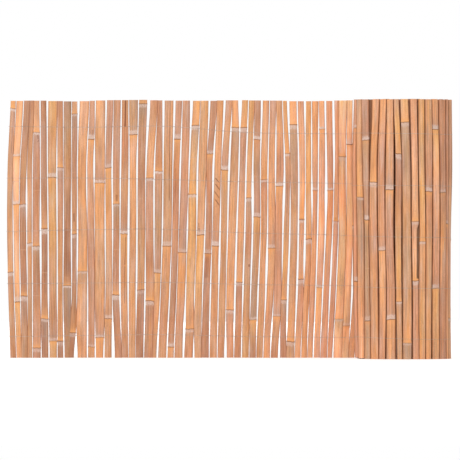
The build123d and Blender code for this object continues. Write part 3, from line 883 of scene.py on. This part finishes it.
def bulge_at(angle, share):
    """How far the outer turn stands out of its spiral, at a share of the slat's length."""
    bulge = 0.0
    for middle, reaches in BULGES.items():
        near = 1 - min(abs(angle - middle) / BULGE_REACH, 1)
        bulge += smooth_between(reaches, share) * soft(near) * MM
    return bulge


def beside_slit(number, share, side):
    """Shift of an edge at a slit, which lies before it where side is 1, and after it at -1."""
    if number not in SLITS:
        return 0.0
    shifts, widenings = SLITS[number]
    return (smooth_between(shifts, share) + side * smooth_between(widenings, share) / 2) * MM


def chord_directions(chord):
    """Unit vectors along a chord of the spiral and out of the roll."""
    along = (chord[1] - chord[0]).normalized()
    return along, Vector((-along.y, along.x, 0))


def roll_place(chord, face_start, width, lean_top, lean_foot, angle=0.0, number=None):
    """Place function of a slat on a chord of the spiral, with its edges leaning."""
    split = SPLIT_OFF.get(number, (0, 0, 0))
    along, outward = chord_directions(chord)

    def place(height):
        share = height / SLAT_LENGTH
        lean = [
            max(2 * share - 1, 0) * top + max(1 - 2 * share, 0) * foot
            for top, foot in zip(lean_top, lean_foot)
        ]
        first = face_start + lean[0] * MM
        last = face_start + width + lean[1] * MM
        if number is not None:
            first += beside_slit(number, share, 1)
            last += beside_slit(number + 1, share, -1)
        if split[1] < share < split[0]:
            first += split[2] * MM
        middle = chord[0] + along * ((first + last) / 2) + outward * bulge_at(angle, share)
        return middle, along * ((last - first) / 2), outward * HALF_THICKNESS
    return place


# Wires


def wire_height(row, x):
    """Height of a wire row on the leaf: it rises a little to the free end, and sways."""
    share = min(max(leaf_share(x), 0), 1)
    level = LEAF_END_WIRE_ROWS[row] + (ROLL_WIRE_ROWS[row] - LEAF_END_WIRE_ROWS[row]) * share
    return level + smooth_between(LEAF_WIRE_SWAY[row], share) * MM


def roll_wire_height(row, share):
    """Height of a wire row at a share of the roll's outer turn, on from the leaf's end."""
    sway = [LEAF_WIRE_SWAY[row][-1], *ROLL_WIRE_SWAY[row]]
    return ROLL_WIRE_ROWS[row] + smooth_between(sway, share) * MM


def leaf_strand(row, slats, reach, radius, side):
    """Points of one strand: past each slat on one face, round the other in each gap."""
    places = []
    for edges, _, _ in slats:
        share = wire_height(row, sum(edges[2]) / 2) / SLAT_LENGTH
        places.append(edges_at(edges, share))
    points = []

    def add_point(x, offset, rise=0.0):
        points.append(Vector((x, slats[0][2] + side * offset, wire_height(row, x) + side * rise)))

    for step in range(TAIL_STEPS + 1):
        angle = math.pi * step / TAIL_STEPS
        x = places[0][0] - WIRE_TAIL + step / TAIL_STEPS * WIRE_TAIL
        add_point(x, radius * math.cos(angle), radius * math.sin(angle))
    for index, (left, right) in enumerate(places):
        for x in (left + LEAF_BEND, (left + right) / 2, right - LEAF_BEND):
            add_point(x, reach)
        gap = places[index + 1][0] - right if index + 1 < len(places) else 0.0
        if gap > TWIST_ROOM:
            for step in range(1, TWIST_STEPS):
                angle = 2 * math.pi * step / TWIST_STEPS
                near = min(gap / 2, reach) * (1 - abs(2 * step / TWIST_STEPS - 1))
                spread = reach - near * (1 - radius / reach)
                x = right + gap * step / TWIST_STEPS
                add_point(x, spread * math.cos(angle), radius * math.sin(angle))
    return points


def roll_strand(row, reach, radius, side):
    """Points of a strand along the outer turn, on its outer or inner face."""
    points = []
    for index, ((width, *_), chord, angle, face) in enumerate(outer_turn_slats()):
        height = roll_wire_height(row, (index + 0.5) / len(OUTER_TURN))
        along, outward = chord_directions(chord)
        outward *= reach * side + bulge_at(angle, height / SLAT_LENGTH)
        for distance in (ROLL_BEND, width * MM / 2, width * MM - ROLL_BEND):
            reached = along * (face + distance)
            points.append(chord[0] + reached + outward + Vector((0, 0, height)))
        rise = Vector((0, 0, height + side * radius))
        points.append(chord[1] + outward * STRAND_PINCH + rise)
    return points


# Sweep


def finish_sweep(n, swept, material):
    """Ends a tree with real geometry that has its material."""
    realised = n.add("GeometryNodeRealizeInstances", {"Geometry": swept})[0]
    inputs = {"Geometry": realised, "Material": material}
    return n.put_out(n.add("GeometryNodeSetMaterial", inputs)[0])


def slat_sweep_tree():
    """Sweeps a section along guide lines into slats with crowned faces and raised nodes."""
    n, given = new_group(
        "Split slats",
        "GeometryNodeTree",
        {
            "Guides": "Geometry",
            "Section": "Object",
            "Node rise": 0.00045,
            "Node flare": 0.0005,
            "Node band": 0.003,
            "Edge wander": 0.0002,
            "Face wander": 0.00015,
            "Bow": 0.0004,
            "Seed": 7,
            "Material": "Material",
        },
        {"Slats": "Geometry"},
    )

    def named(name, kind="FLOAT_VECTOR"):
        return n.add("GeometryNodeInputNamedAttribute", {"Name": name}, data_type=kind)[0]

    def wander(vector, detail, reach):
        """Noise to both sides of zero, times a reach."""
        return n.times(n.minus(n.noise(vector, detail), 0.5), reach)

    lines = n.add("GeometryNodeMeshToCurve", {"Mesh": given["Guides"]})[0]
    outline = n.add("GeometryNodeObjectInfo", {"Object": given["Section"]})["Geometry"]
    outline = n.add("GeometryNodeMeshToCurve", {"Mesh": outline})[0]
    here = n.add("GeometryNodeInputPosition")[0]
    outline = n.add(
        "GeometryNodeStoreNamedAttribute",
        {"Geometry": outline, "Name": "section", "Value": here},
        data_type="FLOAT_VECTOR",
        domain="POINT",
    )[0]
    inputs = {"Curve": lines, "Profile Curve": outline, "Fill Caps": True}
    swept = n.add("GeometryNodeCurveToMesh", inputs)[0]

    section = n.separate(named("section"))
    middle = named("middle")
    height = n.separate(middle)["Z"]
    seed = n.plus(named("seed", "FLOAT"), given["Seed"])

    # Each edge, and the whole slat, wanders a little on its own way down
    side = n.math("SIGN", section["X"])
    vector = n.combine(n.times(height, 22.0), n.times(seed, 3.7), side)
    edge_shift = wander(vector, 2.0, n.times(given["Edge wander"], 2.0))
    edge_shift = n.times(edge_shift, n.size(section["X"]))
    vector = n.combine(n.times(height, 6.0), n.times(seed, 5.1), 9.0)
    bow = wander(vector, 0.0, given["Bow"])

    # A node swells the faces and edges, sharply at the scar and softly beside it
    away = n.math("DIVIDE", n.size(named("from_node", "FLOAT")), given["Node band"])
    swell = n.math("POWER", n.minus(1.0, n.math("MINIMUM", away, 1.0)), 1.4)
    flare = n.times(n.times(swell, given["Node flare"]), section["X"])
    edge_shift = n.plus(edge_shift, flare)
    swell = n.times(swell, given["Node rise"])
    across_noise = n.times(section["X"], 1.3)
    vector = n.combine(n.times(height, 30.0), across_noise, n.plus(seed, section["Y"]))
    face_shift = wander(vector, 2.0, given["Face wander"])
    proud = n.times(n.plus(face_shift, swell), section["Y"])

    across, through = named("across"), named("through")
    place = middle
    for direction, reach in (
        (across, section["X"]),
        (through, section["Y"]),
        (n.vector("NORMALIZE", across), edge_shift),
        (n.vector("NORMALIZE", through), n.plus(proud, bow)),
    ):
        place = n.vector("ADD", place, n.scaled(direction, reach))
    placed = n.add("GeometryNodeSetPosition", {"Geometry": swept, "Position": place})[0]
    return finish_sweep(n, placed, given["Material"])


def wire_tree():
    """Tube along guide lines."""
    n, given = new_group(
        "Binding wire",
        "GeometryNodeTree",
        {"Guides": "Geometry", "Wire radius": 0.00045, "Sides": 6, "Material": "Material"},
        {"Wire": "Geometry"},
    )
    lines = n.add("GeometryNodeMeshToCurve", {"Mesh": given["Guides"]})[0]
    inputs = {"Radius": given["Wire radius"], "Resolution": given["Sides"]}
    ring = n.add("GeometryNodeCurvePrimitiveCircle", inputs)[0]
    inputs = {"Curve": lines, "Profile Curve": ring, "Fill Caps": True}
    tube = n.add("GeometryNodeCurveToMesh", inputs)[0]
    return finish_sweep(n, tube, given["Material"])


def socket_id(tree, label):
    """Identifier of a tree's input."""
    for item in tree.interface.items_tree:
        if item.item_type == "SOCKET" and item.in_out == "INPUT" and item.name == label:
            return item.identifier
    raise KeyError(label)


def turn_outwards(mesh):
    """Makes the faces of closed shells point outwards, and marks their sharp edges."""
    shell = bmesh.new()
    shell.from_mesh(mesh)
    bmesh.ops.recalc_face_normals(shell, faces=shell.faces)
    shell.to_mesh(mesh)
    shell.free()
    for face in mesh.polygons:
        face.use_smooth = True
    mesh.set_sharp_from_angle(angle=SHARP_ANGLE)


def finish_piece(guides, tree, inputs, name, nodes):
    """Makes what a tree sweeps along guides a plain piece, in the place of the frame's nodes."""
    modifier = guides.modifiers.new("Sweep", "NODES")
    modifier.node_group = tree
    for label, value in inputs.items():
        modifier[socket_id(tree, label)] = value
    bpy.context.view_layer.update()
    evaluated = guides.evaluated_get(bpy.context.evaluated_depsgraph_get())
    mesh = bpy.data.meshes.new_from_object(evaluated)
    mesh.name = name
    guides.modifiers.remove(modifier)
    bpy.data.objects.remove(guides)
    for used_up in ("across", "through", "middle"):
        if used_up in mesh.attributes:
            mesh.attributes.remove(mesh.attributes[used_up])
    turn_outwards(mesh)
    piece = add_object(name, mesh)
    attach(piece, "root")
    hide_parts(*nodes)


# Materials


# Colour and place on a slat, as the groups take them: across from -1 to 1, height in metres
ON_SLAT = {"Colour": (0.8, 0.5, 0.3, 1.0), "Across": 0.0, "Height": 0.0, "Seed": 0.0}

# Layers of noise along the fibres: streaks for half a slat's width and for a metre, place
# in the noise, detail, the noise values where the layer starts and ends, and its strengths
FIBRES = {
    "mottled": (0.5, 14.0, 0.0, 3.0, 0.3, 0.7, -0.10, 0.10),
    "medium": (3.2, 7.0, 3.0, 3.0, 0.3, 0.7, -0.12, 0.12),
    "fine": (14.0, 26.0, 6.0, 3.0, 0.3, 0.7, -0.15, 0.15),
    "grain": (9.0, 420.0, 9.0, 2.0, 0.3, 0.7, -0.085, 0.085),
    "rosy": (1.2, 9.0, 12.0, 2.0, 0.42, 0.68, 0.0, 0.36),
    "hazy": (0.4, 12.0, 15.0, 2.0, 0.46, 0.72, 0.0, 0.26),
    "dark": (8.0, 110.0, 18.0, 2.0, 0.68, 0.77, 0.0, 0.50),
    "pale": (7.0, 14.0, 21.0, 2.0, 0.54, 0.70, 0.0, 0.36),
    "narrow hue": (5.0, 22.0, 27.0, 3.0, 0.3, 0.7, -1.0, 1.0),
    "broad hue": (0.8, 9.0, 30.0, 2.0, 0.3, 0.7, -1.0, 1.0),
}


def fibre_group():
    """Uneven colour along the cane's fibres, as tinted colour and relief."""
    n, given = new_group(
        "Bamboo fibres",
        "ShaderNodeTree",
        {
            **ON_SLAT,
            "Strength": 1.0,
            "Rose": (0.58, 0.27, 0.18, 1.0),
            "Haze": (0.66, 0.50, 0.40, 1.0),
            "Pale fibre": (0.86, 0.59, 0.40, 1.0),
            "Hue variation": 1.0,
            "Pore": (0.20, 0.08, 0.035, 1.0),
        },
        {"Colour": "Color", "Relief": "Float"},
    )
    layer = {}
    for name, (across, along, offset, detail, *levels) in FIBRES.items():
        vector = n.combine(
            n.times(given["Across"], across),
            n.times(given["Height"], along),
            n.times_plus(given["Seed"], 7.31, offset),
        )
        layer[name] = n.ramp(n.noise(vector, detail, 0.6), *levels)
    total = n.plus(n.plus(layer["mottled"], layer["medium"]), n.plus(layer["fine"], layer["grain"]))
    shade = n.times_plus(total, given["Strength"], 1.02)
    hue = n.times(n.plus(layer["narrow hue"], layer["broad hue"]), given["Hue variation"])
    tint = n.combine(1.0, n.times_plus(hue, 0.065, 1.0), n.times_plus(hue, 0.17, 1.0))
    colour = n.blend(layer["rosy"], given["Colour"], given["Rose"])
    colour = n.blend(layer["hazy"], colour, given["Haze"])
    colour = n.scaled(colour, shade)
    colour = n.blend(layer["pale"], colour, given["Pale fibre"])
    colour = n.vector("MULTIPLY", colour, tint)
    colour = n.blend(layer["dark"], colour, given["Pore"])
    return n.put_out(colour, n.plus(n.times(layer["medium"], 0.5), layer["fine"]))


def edge_shade_and_streak_group():
    """Painted shade that darkens the split edges, and a dark streak where the slat has one."""
    n, given = new_group(
        "Bamboo edge shade and streaks",
        "ShaderNodeTree",
        {
            **ON_SLAT,
            "Streak place": 0.0,
            "Streak width": 0.1,
            "Streak strength": 0.0,
            # Colour of the painted shade at the split edges
            "Edge": (0.46, 0.17, 0.08, 1.0),
            "Streak": (0.22, 0.065, 0.028, 1.0),
        },
        {"Colour": "Color"},
    )
    side = n.math("SIGN", given["Across"])
    vector = n.combine(side, n.times(given["Height"], 40.0), n.times(given["Seed"], 2.9))
    uneven = n.noise(vector, 3.0)
    # Painted shade: both split edges darken unevenly towards the edge colour
    edge = n.ramp(n.times_plus(uneven, 0.36, n.size(given["Across"])), 0.88, 1.20, 0.0, 0.66)
    colour = n.blend(edge, given["Colour"], given["Edge"])
    from_streak = n.size(n.minus(given["Across"], given["Streak place"]))
    from_streak = n.times_plus(n.minus(uneven, 0.5), 0.16, from_streak)
    streak = n.ramp(n.math("DIVIDE", from_streak, given["Streak width"]), 0.35, 1.0, 1.0, 0.0)
    streak = n.times(streak, given["Streak strength"], clamp=True)
    return n.put_out(n.blend(streak, colour, given["Streak"]))


def node_group():
    """A cane's node: dark scar line, pale waxy band on one side, gold on the other."""
    n, given = new_group(
        "Bamboo node",
        "ShaderNodeTree",
        {
            "Colour": ON_SLAT["Colour"],
            "From node": 1.0,
            "Across": 0.0,
            "Seed": 0.0,
            "Pale": (0.82, 0.63, 0.54, 1.0),
            "Gold": (0.97, 0.45, 0.16, 1.0),
            "Tint": (0.48, 0.34, 0.27, 1.0),
            "Scar": (0.30, 0.12, 0.05, 1.0),
        },
        {"Colour": "Color"},
    )
    across, seed = given["Across"], given["Seed"]
    wobble = n.noise(n.combine(n.times(across, 1.6), n.times(seed, 3.3), 0.0), 2.0)
    lottery = n.add("ShaderNodeTexWhiteNoise", {"W": seed}, noise_dimensions="1D")
    chance = n.add("ShaderNodeSeparateColor", {0: lottery["Color"]})
    tilt = n.times(n.minus(lottery["Value"], 0.5), 0.0018)
    away = n.times_plus(n.minus(wobble, 0.5), 0.0026, given["From node"])
    away = n.times_plus(across, tilt, away)
    along = n.times(given["From node"], 320.0)
    ragged = n.noise(n.combine(n.times(across, 5.0), along, n.times(seed, 1.7)), 3.0)

    # Gold side: bright at the scar, fading over some 10 to 40 mm
    gold_start = n.ramp(away, 0.0002, 0.0008)
    gold_near = n.times(gold_start, n.ramp(away, 0.002, 0.010, 1.0, 0.0))
    spread = n.math("DIVIDE", away, n.times_plus(chance[1], 0.8, 0.45))
    gold_far = n.times(gold_start, n.ramp(spread, 0.003, 0.034, 1.0, 0.0))
    gold = n.plus(n.times(gold_near, 0.38), n.times(gold_far, 0.28))
    gold = n.times(gold, n.times_plus(chance[0], 0.9, 0.35), clamp=True)
    colour = n.blend(gold, given["Colour"], given["Gold"])

    # Pale side: a waxy band next to the scar, then a grey tint
    tint = n.ramp(away, -0.030, -0.006, 0.0, 0.22)
    tint = n.times(tint, n.ramp(away, -0.0006, -0.0001, 1.0, 0.0))
    colour = n.blend(tint, colour, given["Tint"])
    low_edge = n.times_plus(n.minus(ragged, 0.5), 0.006, away)
    low_edge = n.math("DIVIDE", low_edge, n.times_plus(chance[2], 0.7, 0.5))
    pale_side = n.ramp(away, -0.0009, -0.0003, 1.0, 0.0)
    pale = n.times(n.ramp(low_edge, -0.0105, -0.0060), pale_side)
    pale = n.times(pale, n.ramp(ragged, 0.32, 0.6, 0.35, 1.0))
    pale = n.times(pale, n.times_plus(chance[1], 0.7, 0.35), clamp=True)
    colour = n.blend(pale, colour, given["Pale"])
    scar = n.ramp(n.size(away), 0.0005, 0.0012, 1.0, 0.0)
    scar = n.times(scar, n.times_plus(chance[2], 0.7, 0.25))
    return n.put_out(n.blend(scar, colour, given["Scar"]))


def cut_group():
    """Sawn slat ends and split sides: pale end grain with dark bundles, darker sides."""
    n, given = new_group(
        "Cut bamboo",
        "ShaderNodeTree",
        {
            "Colour": ON_SLAT["Colour"],
            "Across": 0.0,
            "Through": 0.0,
            "End grain": (0.74, 0.51, 0.31, 1.0),
            "Bundles": (0.28, 0.14, 0.06, 1.0),
            "Side shade": 0.78,
        },
        {"Colour": "Color"},
    )
    normal = n.add("ShaderNodeNewGeometry")["True Normal"]
    is_end = n.ramp(n.size(n.separate(normal)["Z"]), 0.7, 0.9)
    edge = n.ramp(n.size(given["Across"]), 0.93, 1.0)
    shade = n.times(edge, n.minus(1.0, given["Side shade"]))
    colour = n.blend(shade, given["Colour"], given["Bundles"])
    inputs = {"Vector": n.add("ShaderNodeTexCoord")["Object"], "Scale": 1500.0}
    dots = n.add("ShaderNodeTexVoronoi", inputs, feature="F1")["Distance"]
    dots = n.ramp(dots, 0.18, 0.42, 1.0, 0.0)
    dots = n.times(dots, n.ramp(given["Through"], -1.0, 1.0, 0.35, 0.95))
    grain = n.blend(dots, given["End grain"], given["Bundles"])
    return n.put_out(n.blend(is_end, colour, grain))


def bamboo_material(name, groups, finish):
    """Dry split bamboo. Its tone comes from each slat, and warmth tints the whole finish."""
    material, n, shader = new_material(name)

    def read(attribute, output):
        return n.add("ShaderNodeAttribute", attribute_name=attribute)[output]

    def use(group, inputs):
        return n.add("ShaderNodeGroup", inputs, node_tree=groups[group])

    section = n.separate(read("section", "Vector"))
    height = n.separate(n.add("ShaderNodeTexCoord")["Object"])["Z"]
    place = {"Across": section["X"], "Height": height, "Seed": read("seed", "Fac")}
    tinted = n.blend(1.0, read("tone", "Color"), (*finish.warmth, 1.0), "MULTIPLY")
    fibres = use("fibres", {"Colour": tinted, **place})
    streak = n.separate(read("streak", "Vector"))
    # Painted shade along the split edges, then the slat's own dark streaks
    shaded_and_streaked = use("edge_shade_and_streaks", {
        "Colour": fibres["Colour"],
        **place,
        "Streak place": streak["X"],
        "Streak width": streak["Y"],
        "Streak strength": streak["Z"],
    })
    noded = use("node", {
        "Colour": shaded_and_streaked["Colour"],
        "From node": read("from_node", "Fac"),
        "Across": section["X"],
        "Seed": read("node_seed", "Fac"),
    })
    cut = use("cut", {"Colour": noded["Colour"], "Across": section["X"], "Through": section["Y"]})
    relief = {"Height": fibres["Relief"], "Strength": 0.4, "Distance": 0.0006}
    n.set(shader, {
        "Base Color": cut["Colour"],
        "Normal": n.add("ShaderNodeBump", relief)[0],
        "Roughness": finish.roughness,
        "Specular IOR Level": 0.2,
    })
    return material


def wire_material():
    """Dull galvanised wire."""
    material, n, shader = new_material("binding_wire")
    patches = n.noise(n.add("ShaderNodeTexCoord")["Object"], 3.0, scale=160.0)
    patches = n.ramp(patches, 0.35, 0.65)
    n.set(shader, {
        "Base Color": n.blend(patches, (0.40, 0.32, 0.26, 1.0), (0.64, 0.56, 0.49, 1.0)),
        "Roughness": n.times_plus(patches, -0.15, 0.6),
        "Metallic": 0.4,
    })
    return material


# Settings


def length(name, description, default):
    """Setting in metres."""
    return FloatProperty(
        name=name, description=description, default=default, min=0.0, unit="LENGTH"
    )


class SlatSettings(bpy.types.PropertyGroup):
    """Sizes of the slats' form."""

    node_rise: length("Node rise", "How proud a cane node stands on each face", 0.45 * MM)
    node_flare: length("Node flare", "How far a cane node widens a slat at each edge", 0.55 * MM)
    node_band: length("Node band", "Half the length of a node's swelling", 4.0 * MM)
    edge_wander: length("Edge wander", "How far a split edge strays from its line", 0.35 * MM)
    face_wander: length("Face wander", "Unevenness of a slat's faces", 0.25 * MM)
    bow: length("Bow", "How far a slat bows out of the mat's plane", 0.5 * MM)
    seed: IntProperty(
        name="Seed", description="Changes every random variation of the slats", default=11, min=0
    )


class FinishSettings(bpy.types.PropertyGroup):
    """Finish of the bamboo."""

    warmth: FloatVectorProperty(
        name="Warmth",
        description="Tint of the whole finish",
        default=(1.0, 1.0, 1.0),
        min=0.0,
        max=1.5,
        subtype="COLOR",
    )
    roughness: FloatProperty(
        name="Roughness",
        description="Roughness of the dry bamboo",
        default=0.62,
        min=0.0,
        max=1.0,
        subtype="FACTOR",
    )


class WireSettings(bpy.types.PropertyGroup):
    """Sizes of the binding wire."""

    radius: length("Wire radius", "Radius of one strand", 0.25 * MM)


class StageSettings(bpy.types.PropertyGroup):
    """Camera and light."""

    camera_distance: length("Camera distance", "From the camera to the leaf", 15.0)
    sky: FloatProperty(
        name="Sky", description="Strength of the light from all round", default=0.44, min=0.0
    )
    key: FloatProperty(
        name="Key light",
        description="Power of the large light at the front left",
        default=220.0,
        min=0.0,
        unit="POWER",
    )


# Operators


FINISHES = {}


def get_materials(context):
    """The finishes by material slot, made once."""
    if not FINISHES:
        groups = {
            "fibres": fibre_group(),
            "edge_shade_and_streaks": edge_shade_and_streak_group(),
            "node": node_group(),
            "cut": cut_group(),
        }
        for slot in ("bamboo_orange", "bamboo_rose", "bamboo_tan", "bamboo_grey"):
            finish = context.scene.screen_finish
            FINISHES[slot] = bamboo_material("split_" + slot, groups, finish)
        FINISHES["galvanised_wire"] = wire_material()
    return FINISHES


def get_tree(name, build):
    return bpy.data.node_groups.get(name) or build()


def add_slats(context, slats, points, name, slot, nodes):
    """Sweeps a section along slats' guides, with the settings of the same names."""
    settings = context.scene.screen_slats
    labels = settings.bl_rna.properties
    inputs = {labels[key].name: getattr(settings, key) for key in SlatSettings.__annotations__}
    section = section_object(points)
    inputs.update({"Section": section, "Material": get_materials(context)[slot]})
    tree = get_tree("Split slats", slat_sweep_tree)
    finish_piece(slat_guides(slats), tree, inputs, name, nodes)
    bpy.data.objects.remove(section)


class SCREEN_OT_leaf(bpy.types.Operator):
    """Split slats of the flat leaf"""

    bl_idname = "screen.leaf"
    bl_label = "Leaf slats"

    def execute(self, context):
        random.seed(context.scene.screen_slats.seed)
        by_slot = {}
        for part in frame["record"]["subparts"]:
            if part["node"].startswith("slat_"):
                by_slot.setdefault(part["material_slot"], []).append(part["node"])
        in_order = leaf_nodes()
        slats = [read_slat(node) for node in in_order]
        eased = ease_edges(slats)
        for slot, nodes in sorted(by_slot.items()):
            guides = []
            for node in nodes:
                index = in_order.index(node)
                number = index + 1
                _, cane_nodes, leaf_y = slats[index]
                edges = eased[index]
                trim = leaf_trim(sum(edges[-1]) / 2)
                streaks = STREAKS.get(number) or random_streaks()
                place = leaf_place(edges, leaf_y, number)
                text = LEAF_TONES[index]
                guides.append(slat_rows(cane_nodes, streaks, text, place, number, trim, LEAF_PAINTED_SHADE))
            name = "leaf_slats_" + slot.split("_")[1]
            add_slats(context, guides, SLAT_SECTION, name, slot, nodes)
        return {"FINISHED"}


class SCREEN_OT_roll(bpy.types.Operator):
    """Slats of the wound roll"""

    bl_idname = "screen.roll"
    bl_label = "Wound roll"

    def execute(self, context):
        random.seed(context.scene.screen_slats.seed + 1)
        outer = []
        for index, (row, chord, angle, face) in enumerate(outer_turn_slats()):
            width, _, lean_top, lean_foot, shares, text = row
            place = roll_place(chord, face, width * MM, lean_top, lean_foot, angle, index)
            nodes = sorted(share * SLAT_LENGTH for share in shares)
            trim = (random.uniform(0, 0.3) * MM, random.uniform(0, 1.2) * MM)
            if index in LIFTED_FEET:
                trim = (LIFTED_FEET[index] * MM, trim[1])
            streaks = random_streaks()
            seed = OUTER_SEED + index
            outer.append(slat_rows(nodes, streaks, text, place, seed, trim, OUTER_PAINTED_LIGHT))
        inner = []
        angles = inner_turn_joints()
        for index, (first, last) in enumerate(zip(angles, angles[1:])):
            chord = (on_spiral(first), on_spiral(last))
            width = (chord[1] - chord[0]).length
            gap = random.uniform(0.6, 2.4) * MM
            lean = random.uniform(-0.5, 0.5)
            place = roll_place(chord, gap / 2, width - gap, (lean, lean), (-lean, -lean))
            trim = (random.uniform(0, 1.0) * MM, random.uniform(0, 2.5) * MM)
            text = random.choice(INNER_TONES)
            seed = INNER_SEED + index
            inner.append(
                slat_rows([], [], text, place, seed, trim, INNER_PAINTED_SHADE, INNER_ROW_SPACING)
            )
        for slats, points, name in (
            (outer, SLAT_SECTION, "roll_outer_turn"),
            (inner, INNER_SECTION, "roll_inner_turns"),
        ):
            add_slats(context, slats, points, name, "bamboo_orange", ["wound_roll"])
        return {"FINISHED"}


class SCREEN_OT_wires(bpy.types.Operator):
    """Twisted binding wires"""

    bl_idname = "screen.wires"
    bl_label = "Binding wires"

    def execute(self, context):
        radius = context.scene.screen_wires.radius
        reach = HALF_THICKNESS + radius * STRAND_CLEARANCE
        slats = [read_slat(node) for node in leaf_nodes()]
        material = get_materials(context)["galvanised_wire"]
        inputs = {"Wire radius": radius, "Sides": WIRE_SIDES, "Material": material}
        tree = get_tree("Binding wire", wire_tree)
        for row in range(len(ROLL_WIRE_ROWS)):
            strands = [
                leaf_strand(row, slats, reach, radius, side) + roll_strand(row, reach, radius, side)
                for side in (1, -1)
            ]
            name, node = f"binding_wire_row_{row + 1}", f"binding_wire_{row + 1}"
            finish_piece(guide_object(strands), tree, inputs, name, [node])
        return {"FINISHED"}


def seen_directly(n):
    """1 for the camera and for what metal or glass shows, and 0 for light on the object."""
    rays = n.add("ShaderNodeLightPath")
    seen = n.math("MAXIMUM", rays["Is Camera Ray"], rays["Is Glossy Ray"])
    return n.math("MAXIMUM", seen, rays["Is Transmission Ray"])


class SCREEN_OT_stage(bpy.types.Operator):
    """Floor, white backdrop, lights and camera"""

    bl_idname = "screen.stage"
    bl_label = "Stage"

    def execute(self, context):
        settings = context.scene.screen_stage
        self.add_floor()
        self.add_world(context, settings.sky)
        for name, (place, size, share) in LIGHTS.items():
            self.add_light(name, place, size, settings.key * share)
        self.add_camera(context, settings.camera_distance)
        context.scene.view_settings.view_transform = "Standard"
        return {"FINISHED"}

    def add_floor(self):
        corners = [(-1, -1), (1, -1), (1, 1), (-1, 1)]
        points = [(x * FLOOR_REACH, y * FLOOR_REACH, 0) for x, y in corners]
        floor = mesh_object("floor", points, [], [(0, 1, 2, 3)])
        material, n, shader = new_material("white_floor")
        n.set(shader, {
            "Base Color": (0.9, 0.9, 0.9, 1.0),
            "Roughness": 0.8,
            "Specular IOR Level": 0.0,
            "Emission Color": (1.0, 1.0, 1.0, 1.0),
            "Emission Strength": n.times(seen_directly(n), 0.5),
        })
        floor.data.materials.append(material)

    def add_world(self, context, strength):
        world = bpy.data.worlds.new("studio")
        context.scene.world = world
        world.use_nodes = True
        n = Nodes(world.node_tree)
        n.set(world.node_tree.nodes["Background"], {
            "Color": (1.0, 1.0, 1.0, 1.0),
            "Strength": n.times_plus(seen_directly(n), 1.0 - strength, strength),
        })

    def add_light(self, name, place, size, power):
        lamp = bpy.data.lights.new(name, "AREA")
        lamp.size = size
        lamp.energy = power
        light = add_object(name, lamp)
        light.location = place
        aim = Vector((0.0, 0.0, 0.25)) - Vector(place)
        light.rotation_euler = aim.to_track_quat("-Z", "Y").to_euler()

    def add_camera(self, context, distance):
        lens = bpy.data.cameras.new("camera")
        lens.sensor_width = 36.0
        lens.lens = lens.sensor_width * distance / PICTURE_WIDTH
        lens.clip_end = 100.0
        camera = add_object("camera", lens)
        camera.location = (FREE_END + CAMERA_FROM_FREE_END, LEAF_Y - distance, CAMERA_HEIGHT)
        camera.rotation_euler = (math.pi / 2, 0.0, 0.0)
        context.scene.camera = camera


class SCREEN_PT_panel(bpy.types.Panel):
    """Lists the pieces of the screen"""

    bl_label = "Bamboo screen"
    bl_idname = "SCREEN_PT_panel"
    bl_space_type = "VIEW_3D"
    bl_region_type = "UI"
    bl_category = "Bamboo screen"

    def draw(self, context):
        layout = self.layout
        scene = context.scene
        for title, settings in (
            ("Slats", scene.screen_slats),
            ("Finish", scene.screen_finish),
            ("Wire", scene.screen_wires),
            ("Stage", scene.screen_stage),
        ):
            box = layout.box()
            box.label(text=title)
            for name in settings.__annotations__:
                box.prop(settings, name)
        for operator in OPERATORS:
            layout.operator(operator.bl_idname)


SETTINGS = {
    "screen_slats": SlatSettings,
    "screen_finish": FinishSettings,
    "screen_wires": WireSettings,
    "screen_stage": StageSettings,
}
OPERATORS = (SCREEN_OT_leaf, SCREEN_OT_roll, SCREEN_OT_wires, SCREEN_OT_stage)
CLASSES = (*SETTINGS.values(), *OPERATORS, SCREEN_PT_panel)


def register():
    for cls in CLASSES:
        bpy.utils.register_class(cls)
    for name, cls in SETTINGS.items():
        setattr(bpy.types.Scene, name, PointerProperty(type=cls))


def unregister():
    for name in SETTINGS:
        delattr(bpy.types.Scene, name)
    for cls in reversed(CLASSES):
        bpy.utils.unregister_class(cls)


def main():
    register()
    bpy.ops.screen.leaf()
    bpy.ops.screen.roll()
    bpy.ops.screen.wires()
    bpy.ops.screen.stage()


if __name__ == "__main__":
    main()
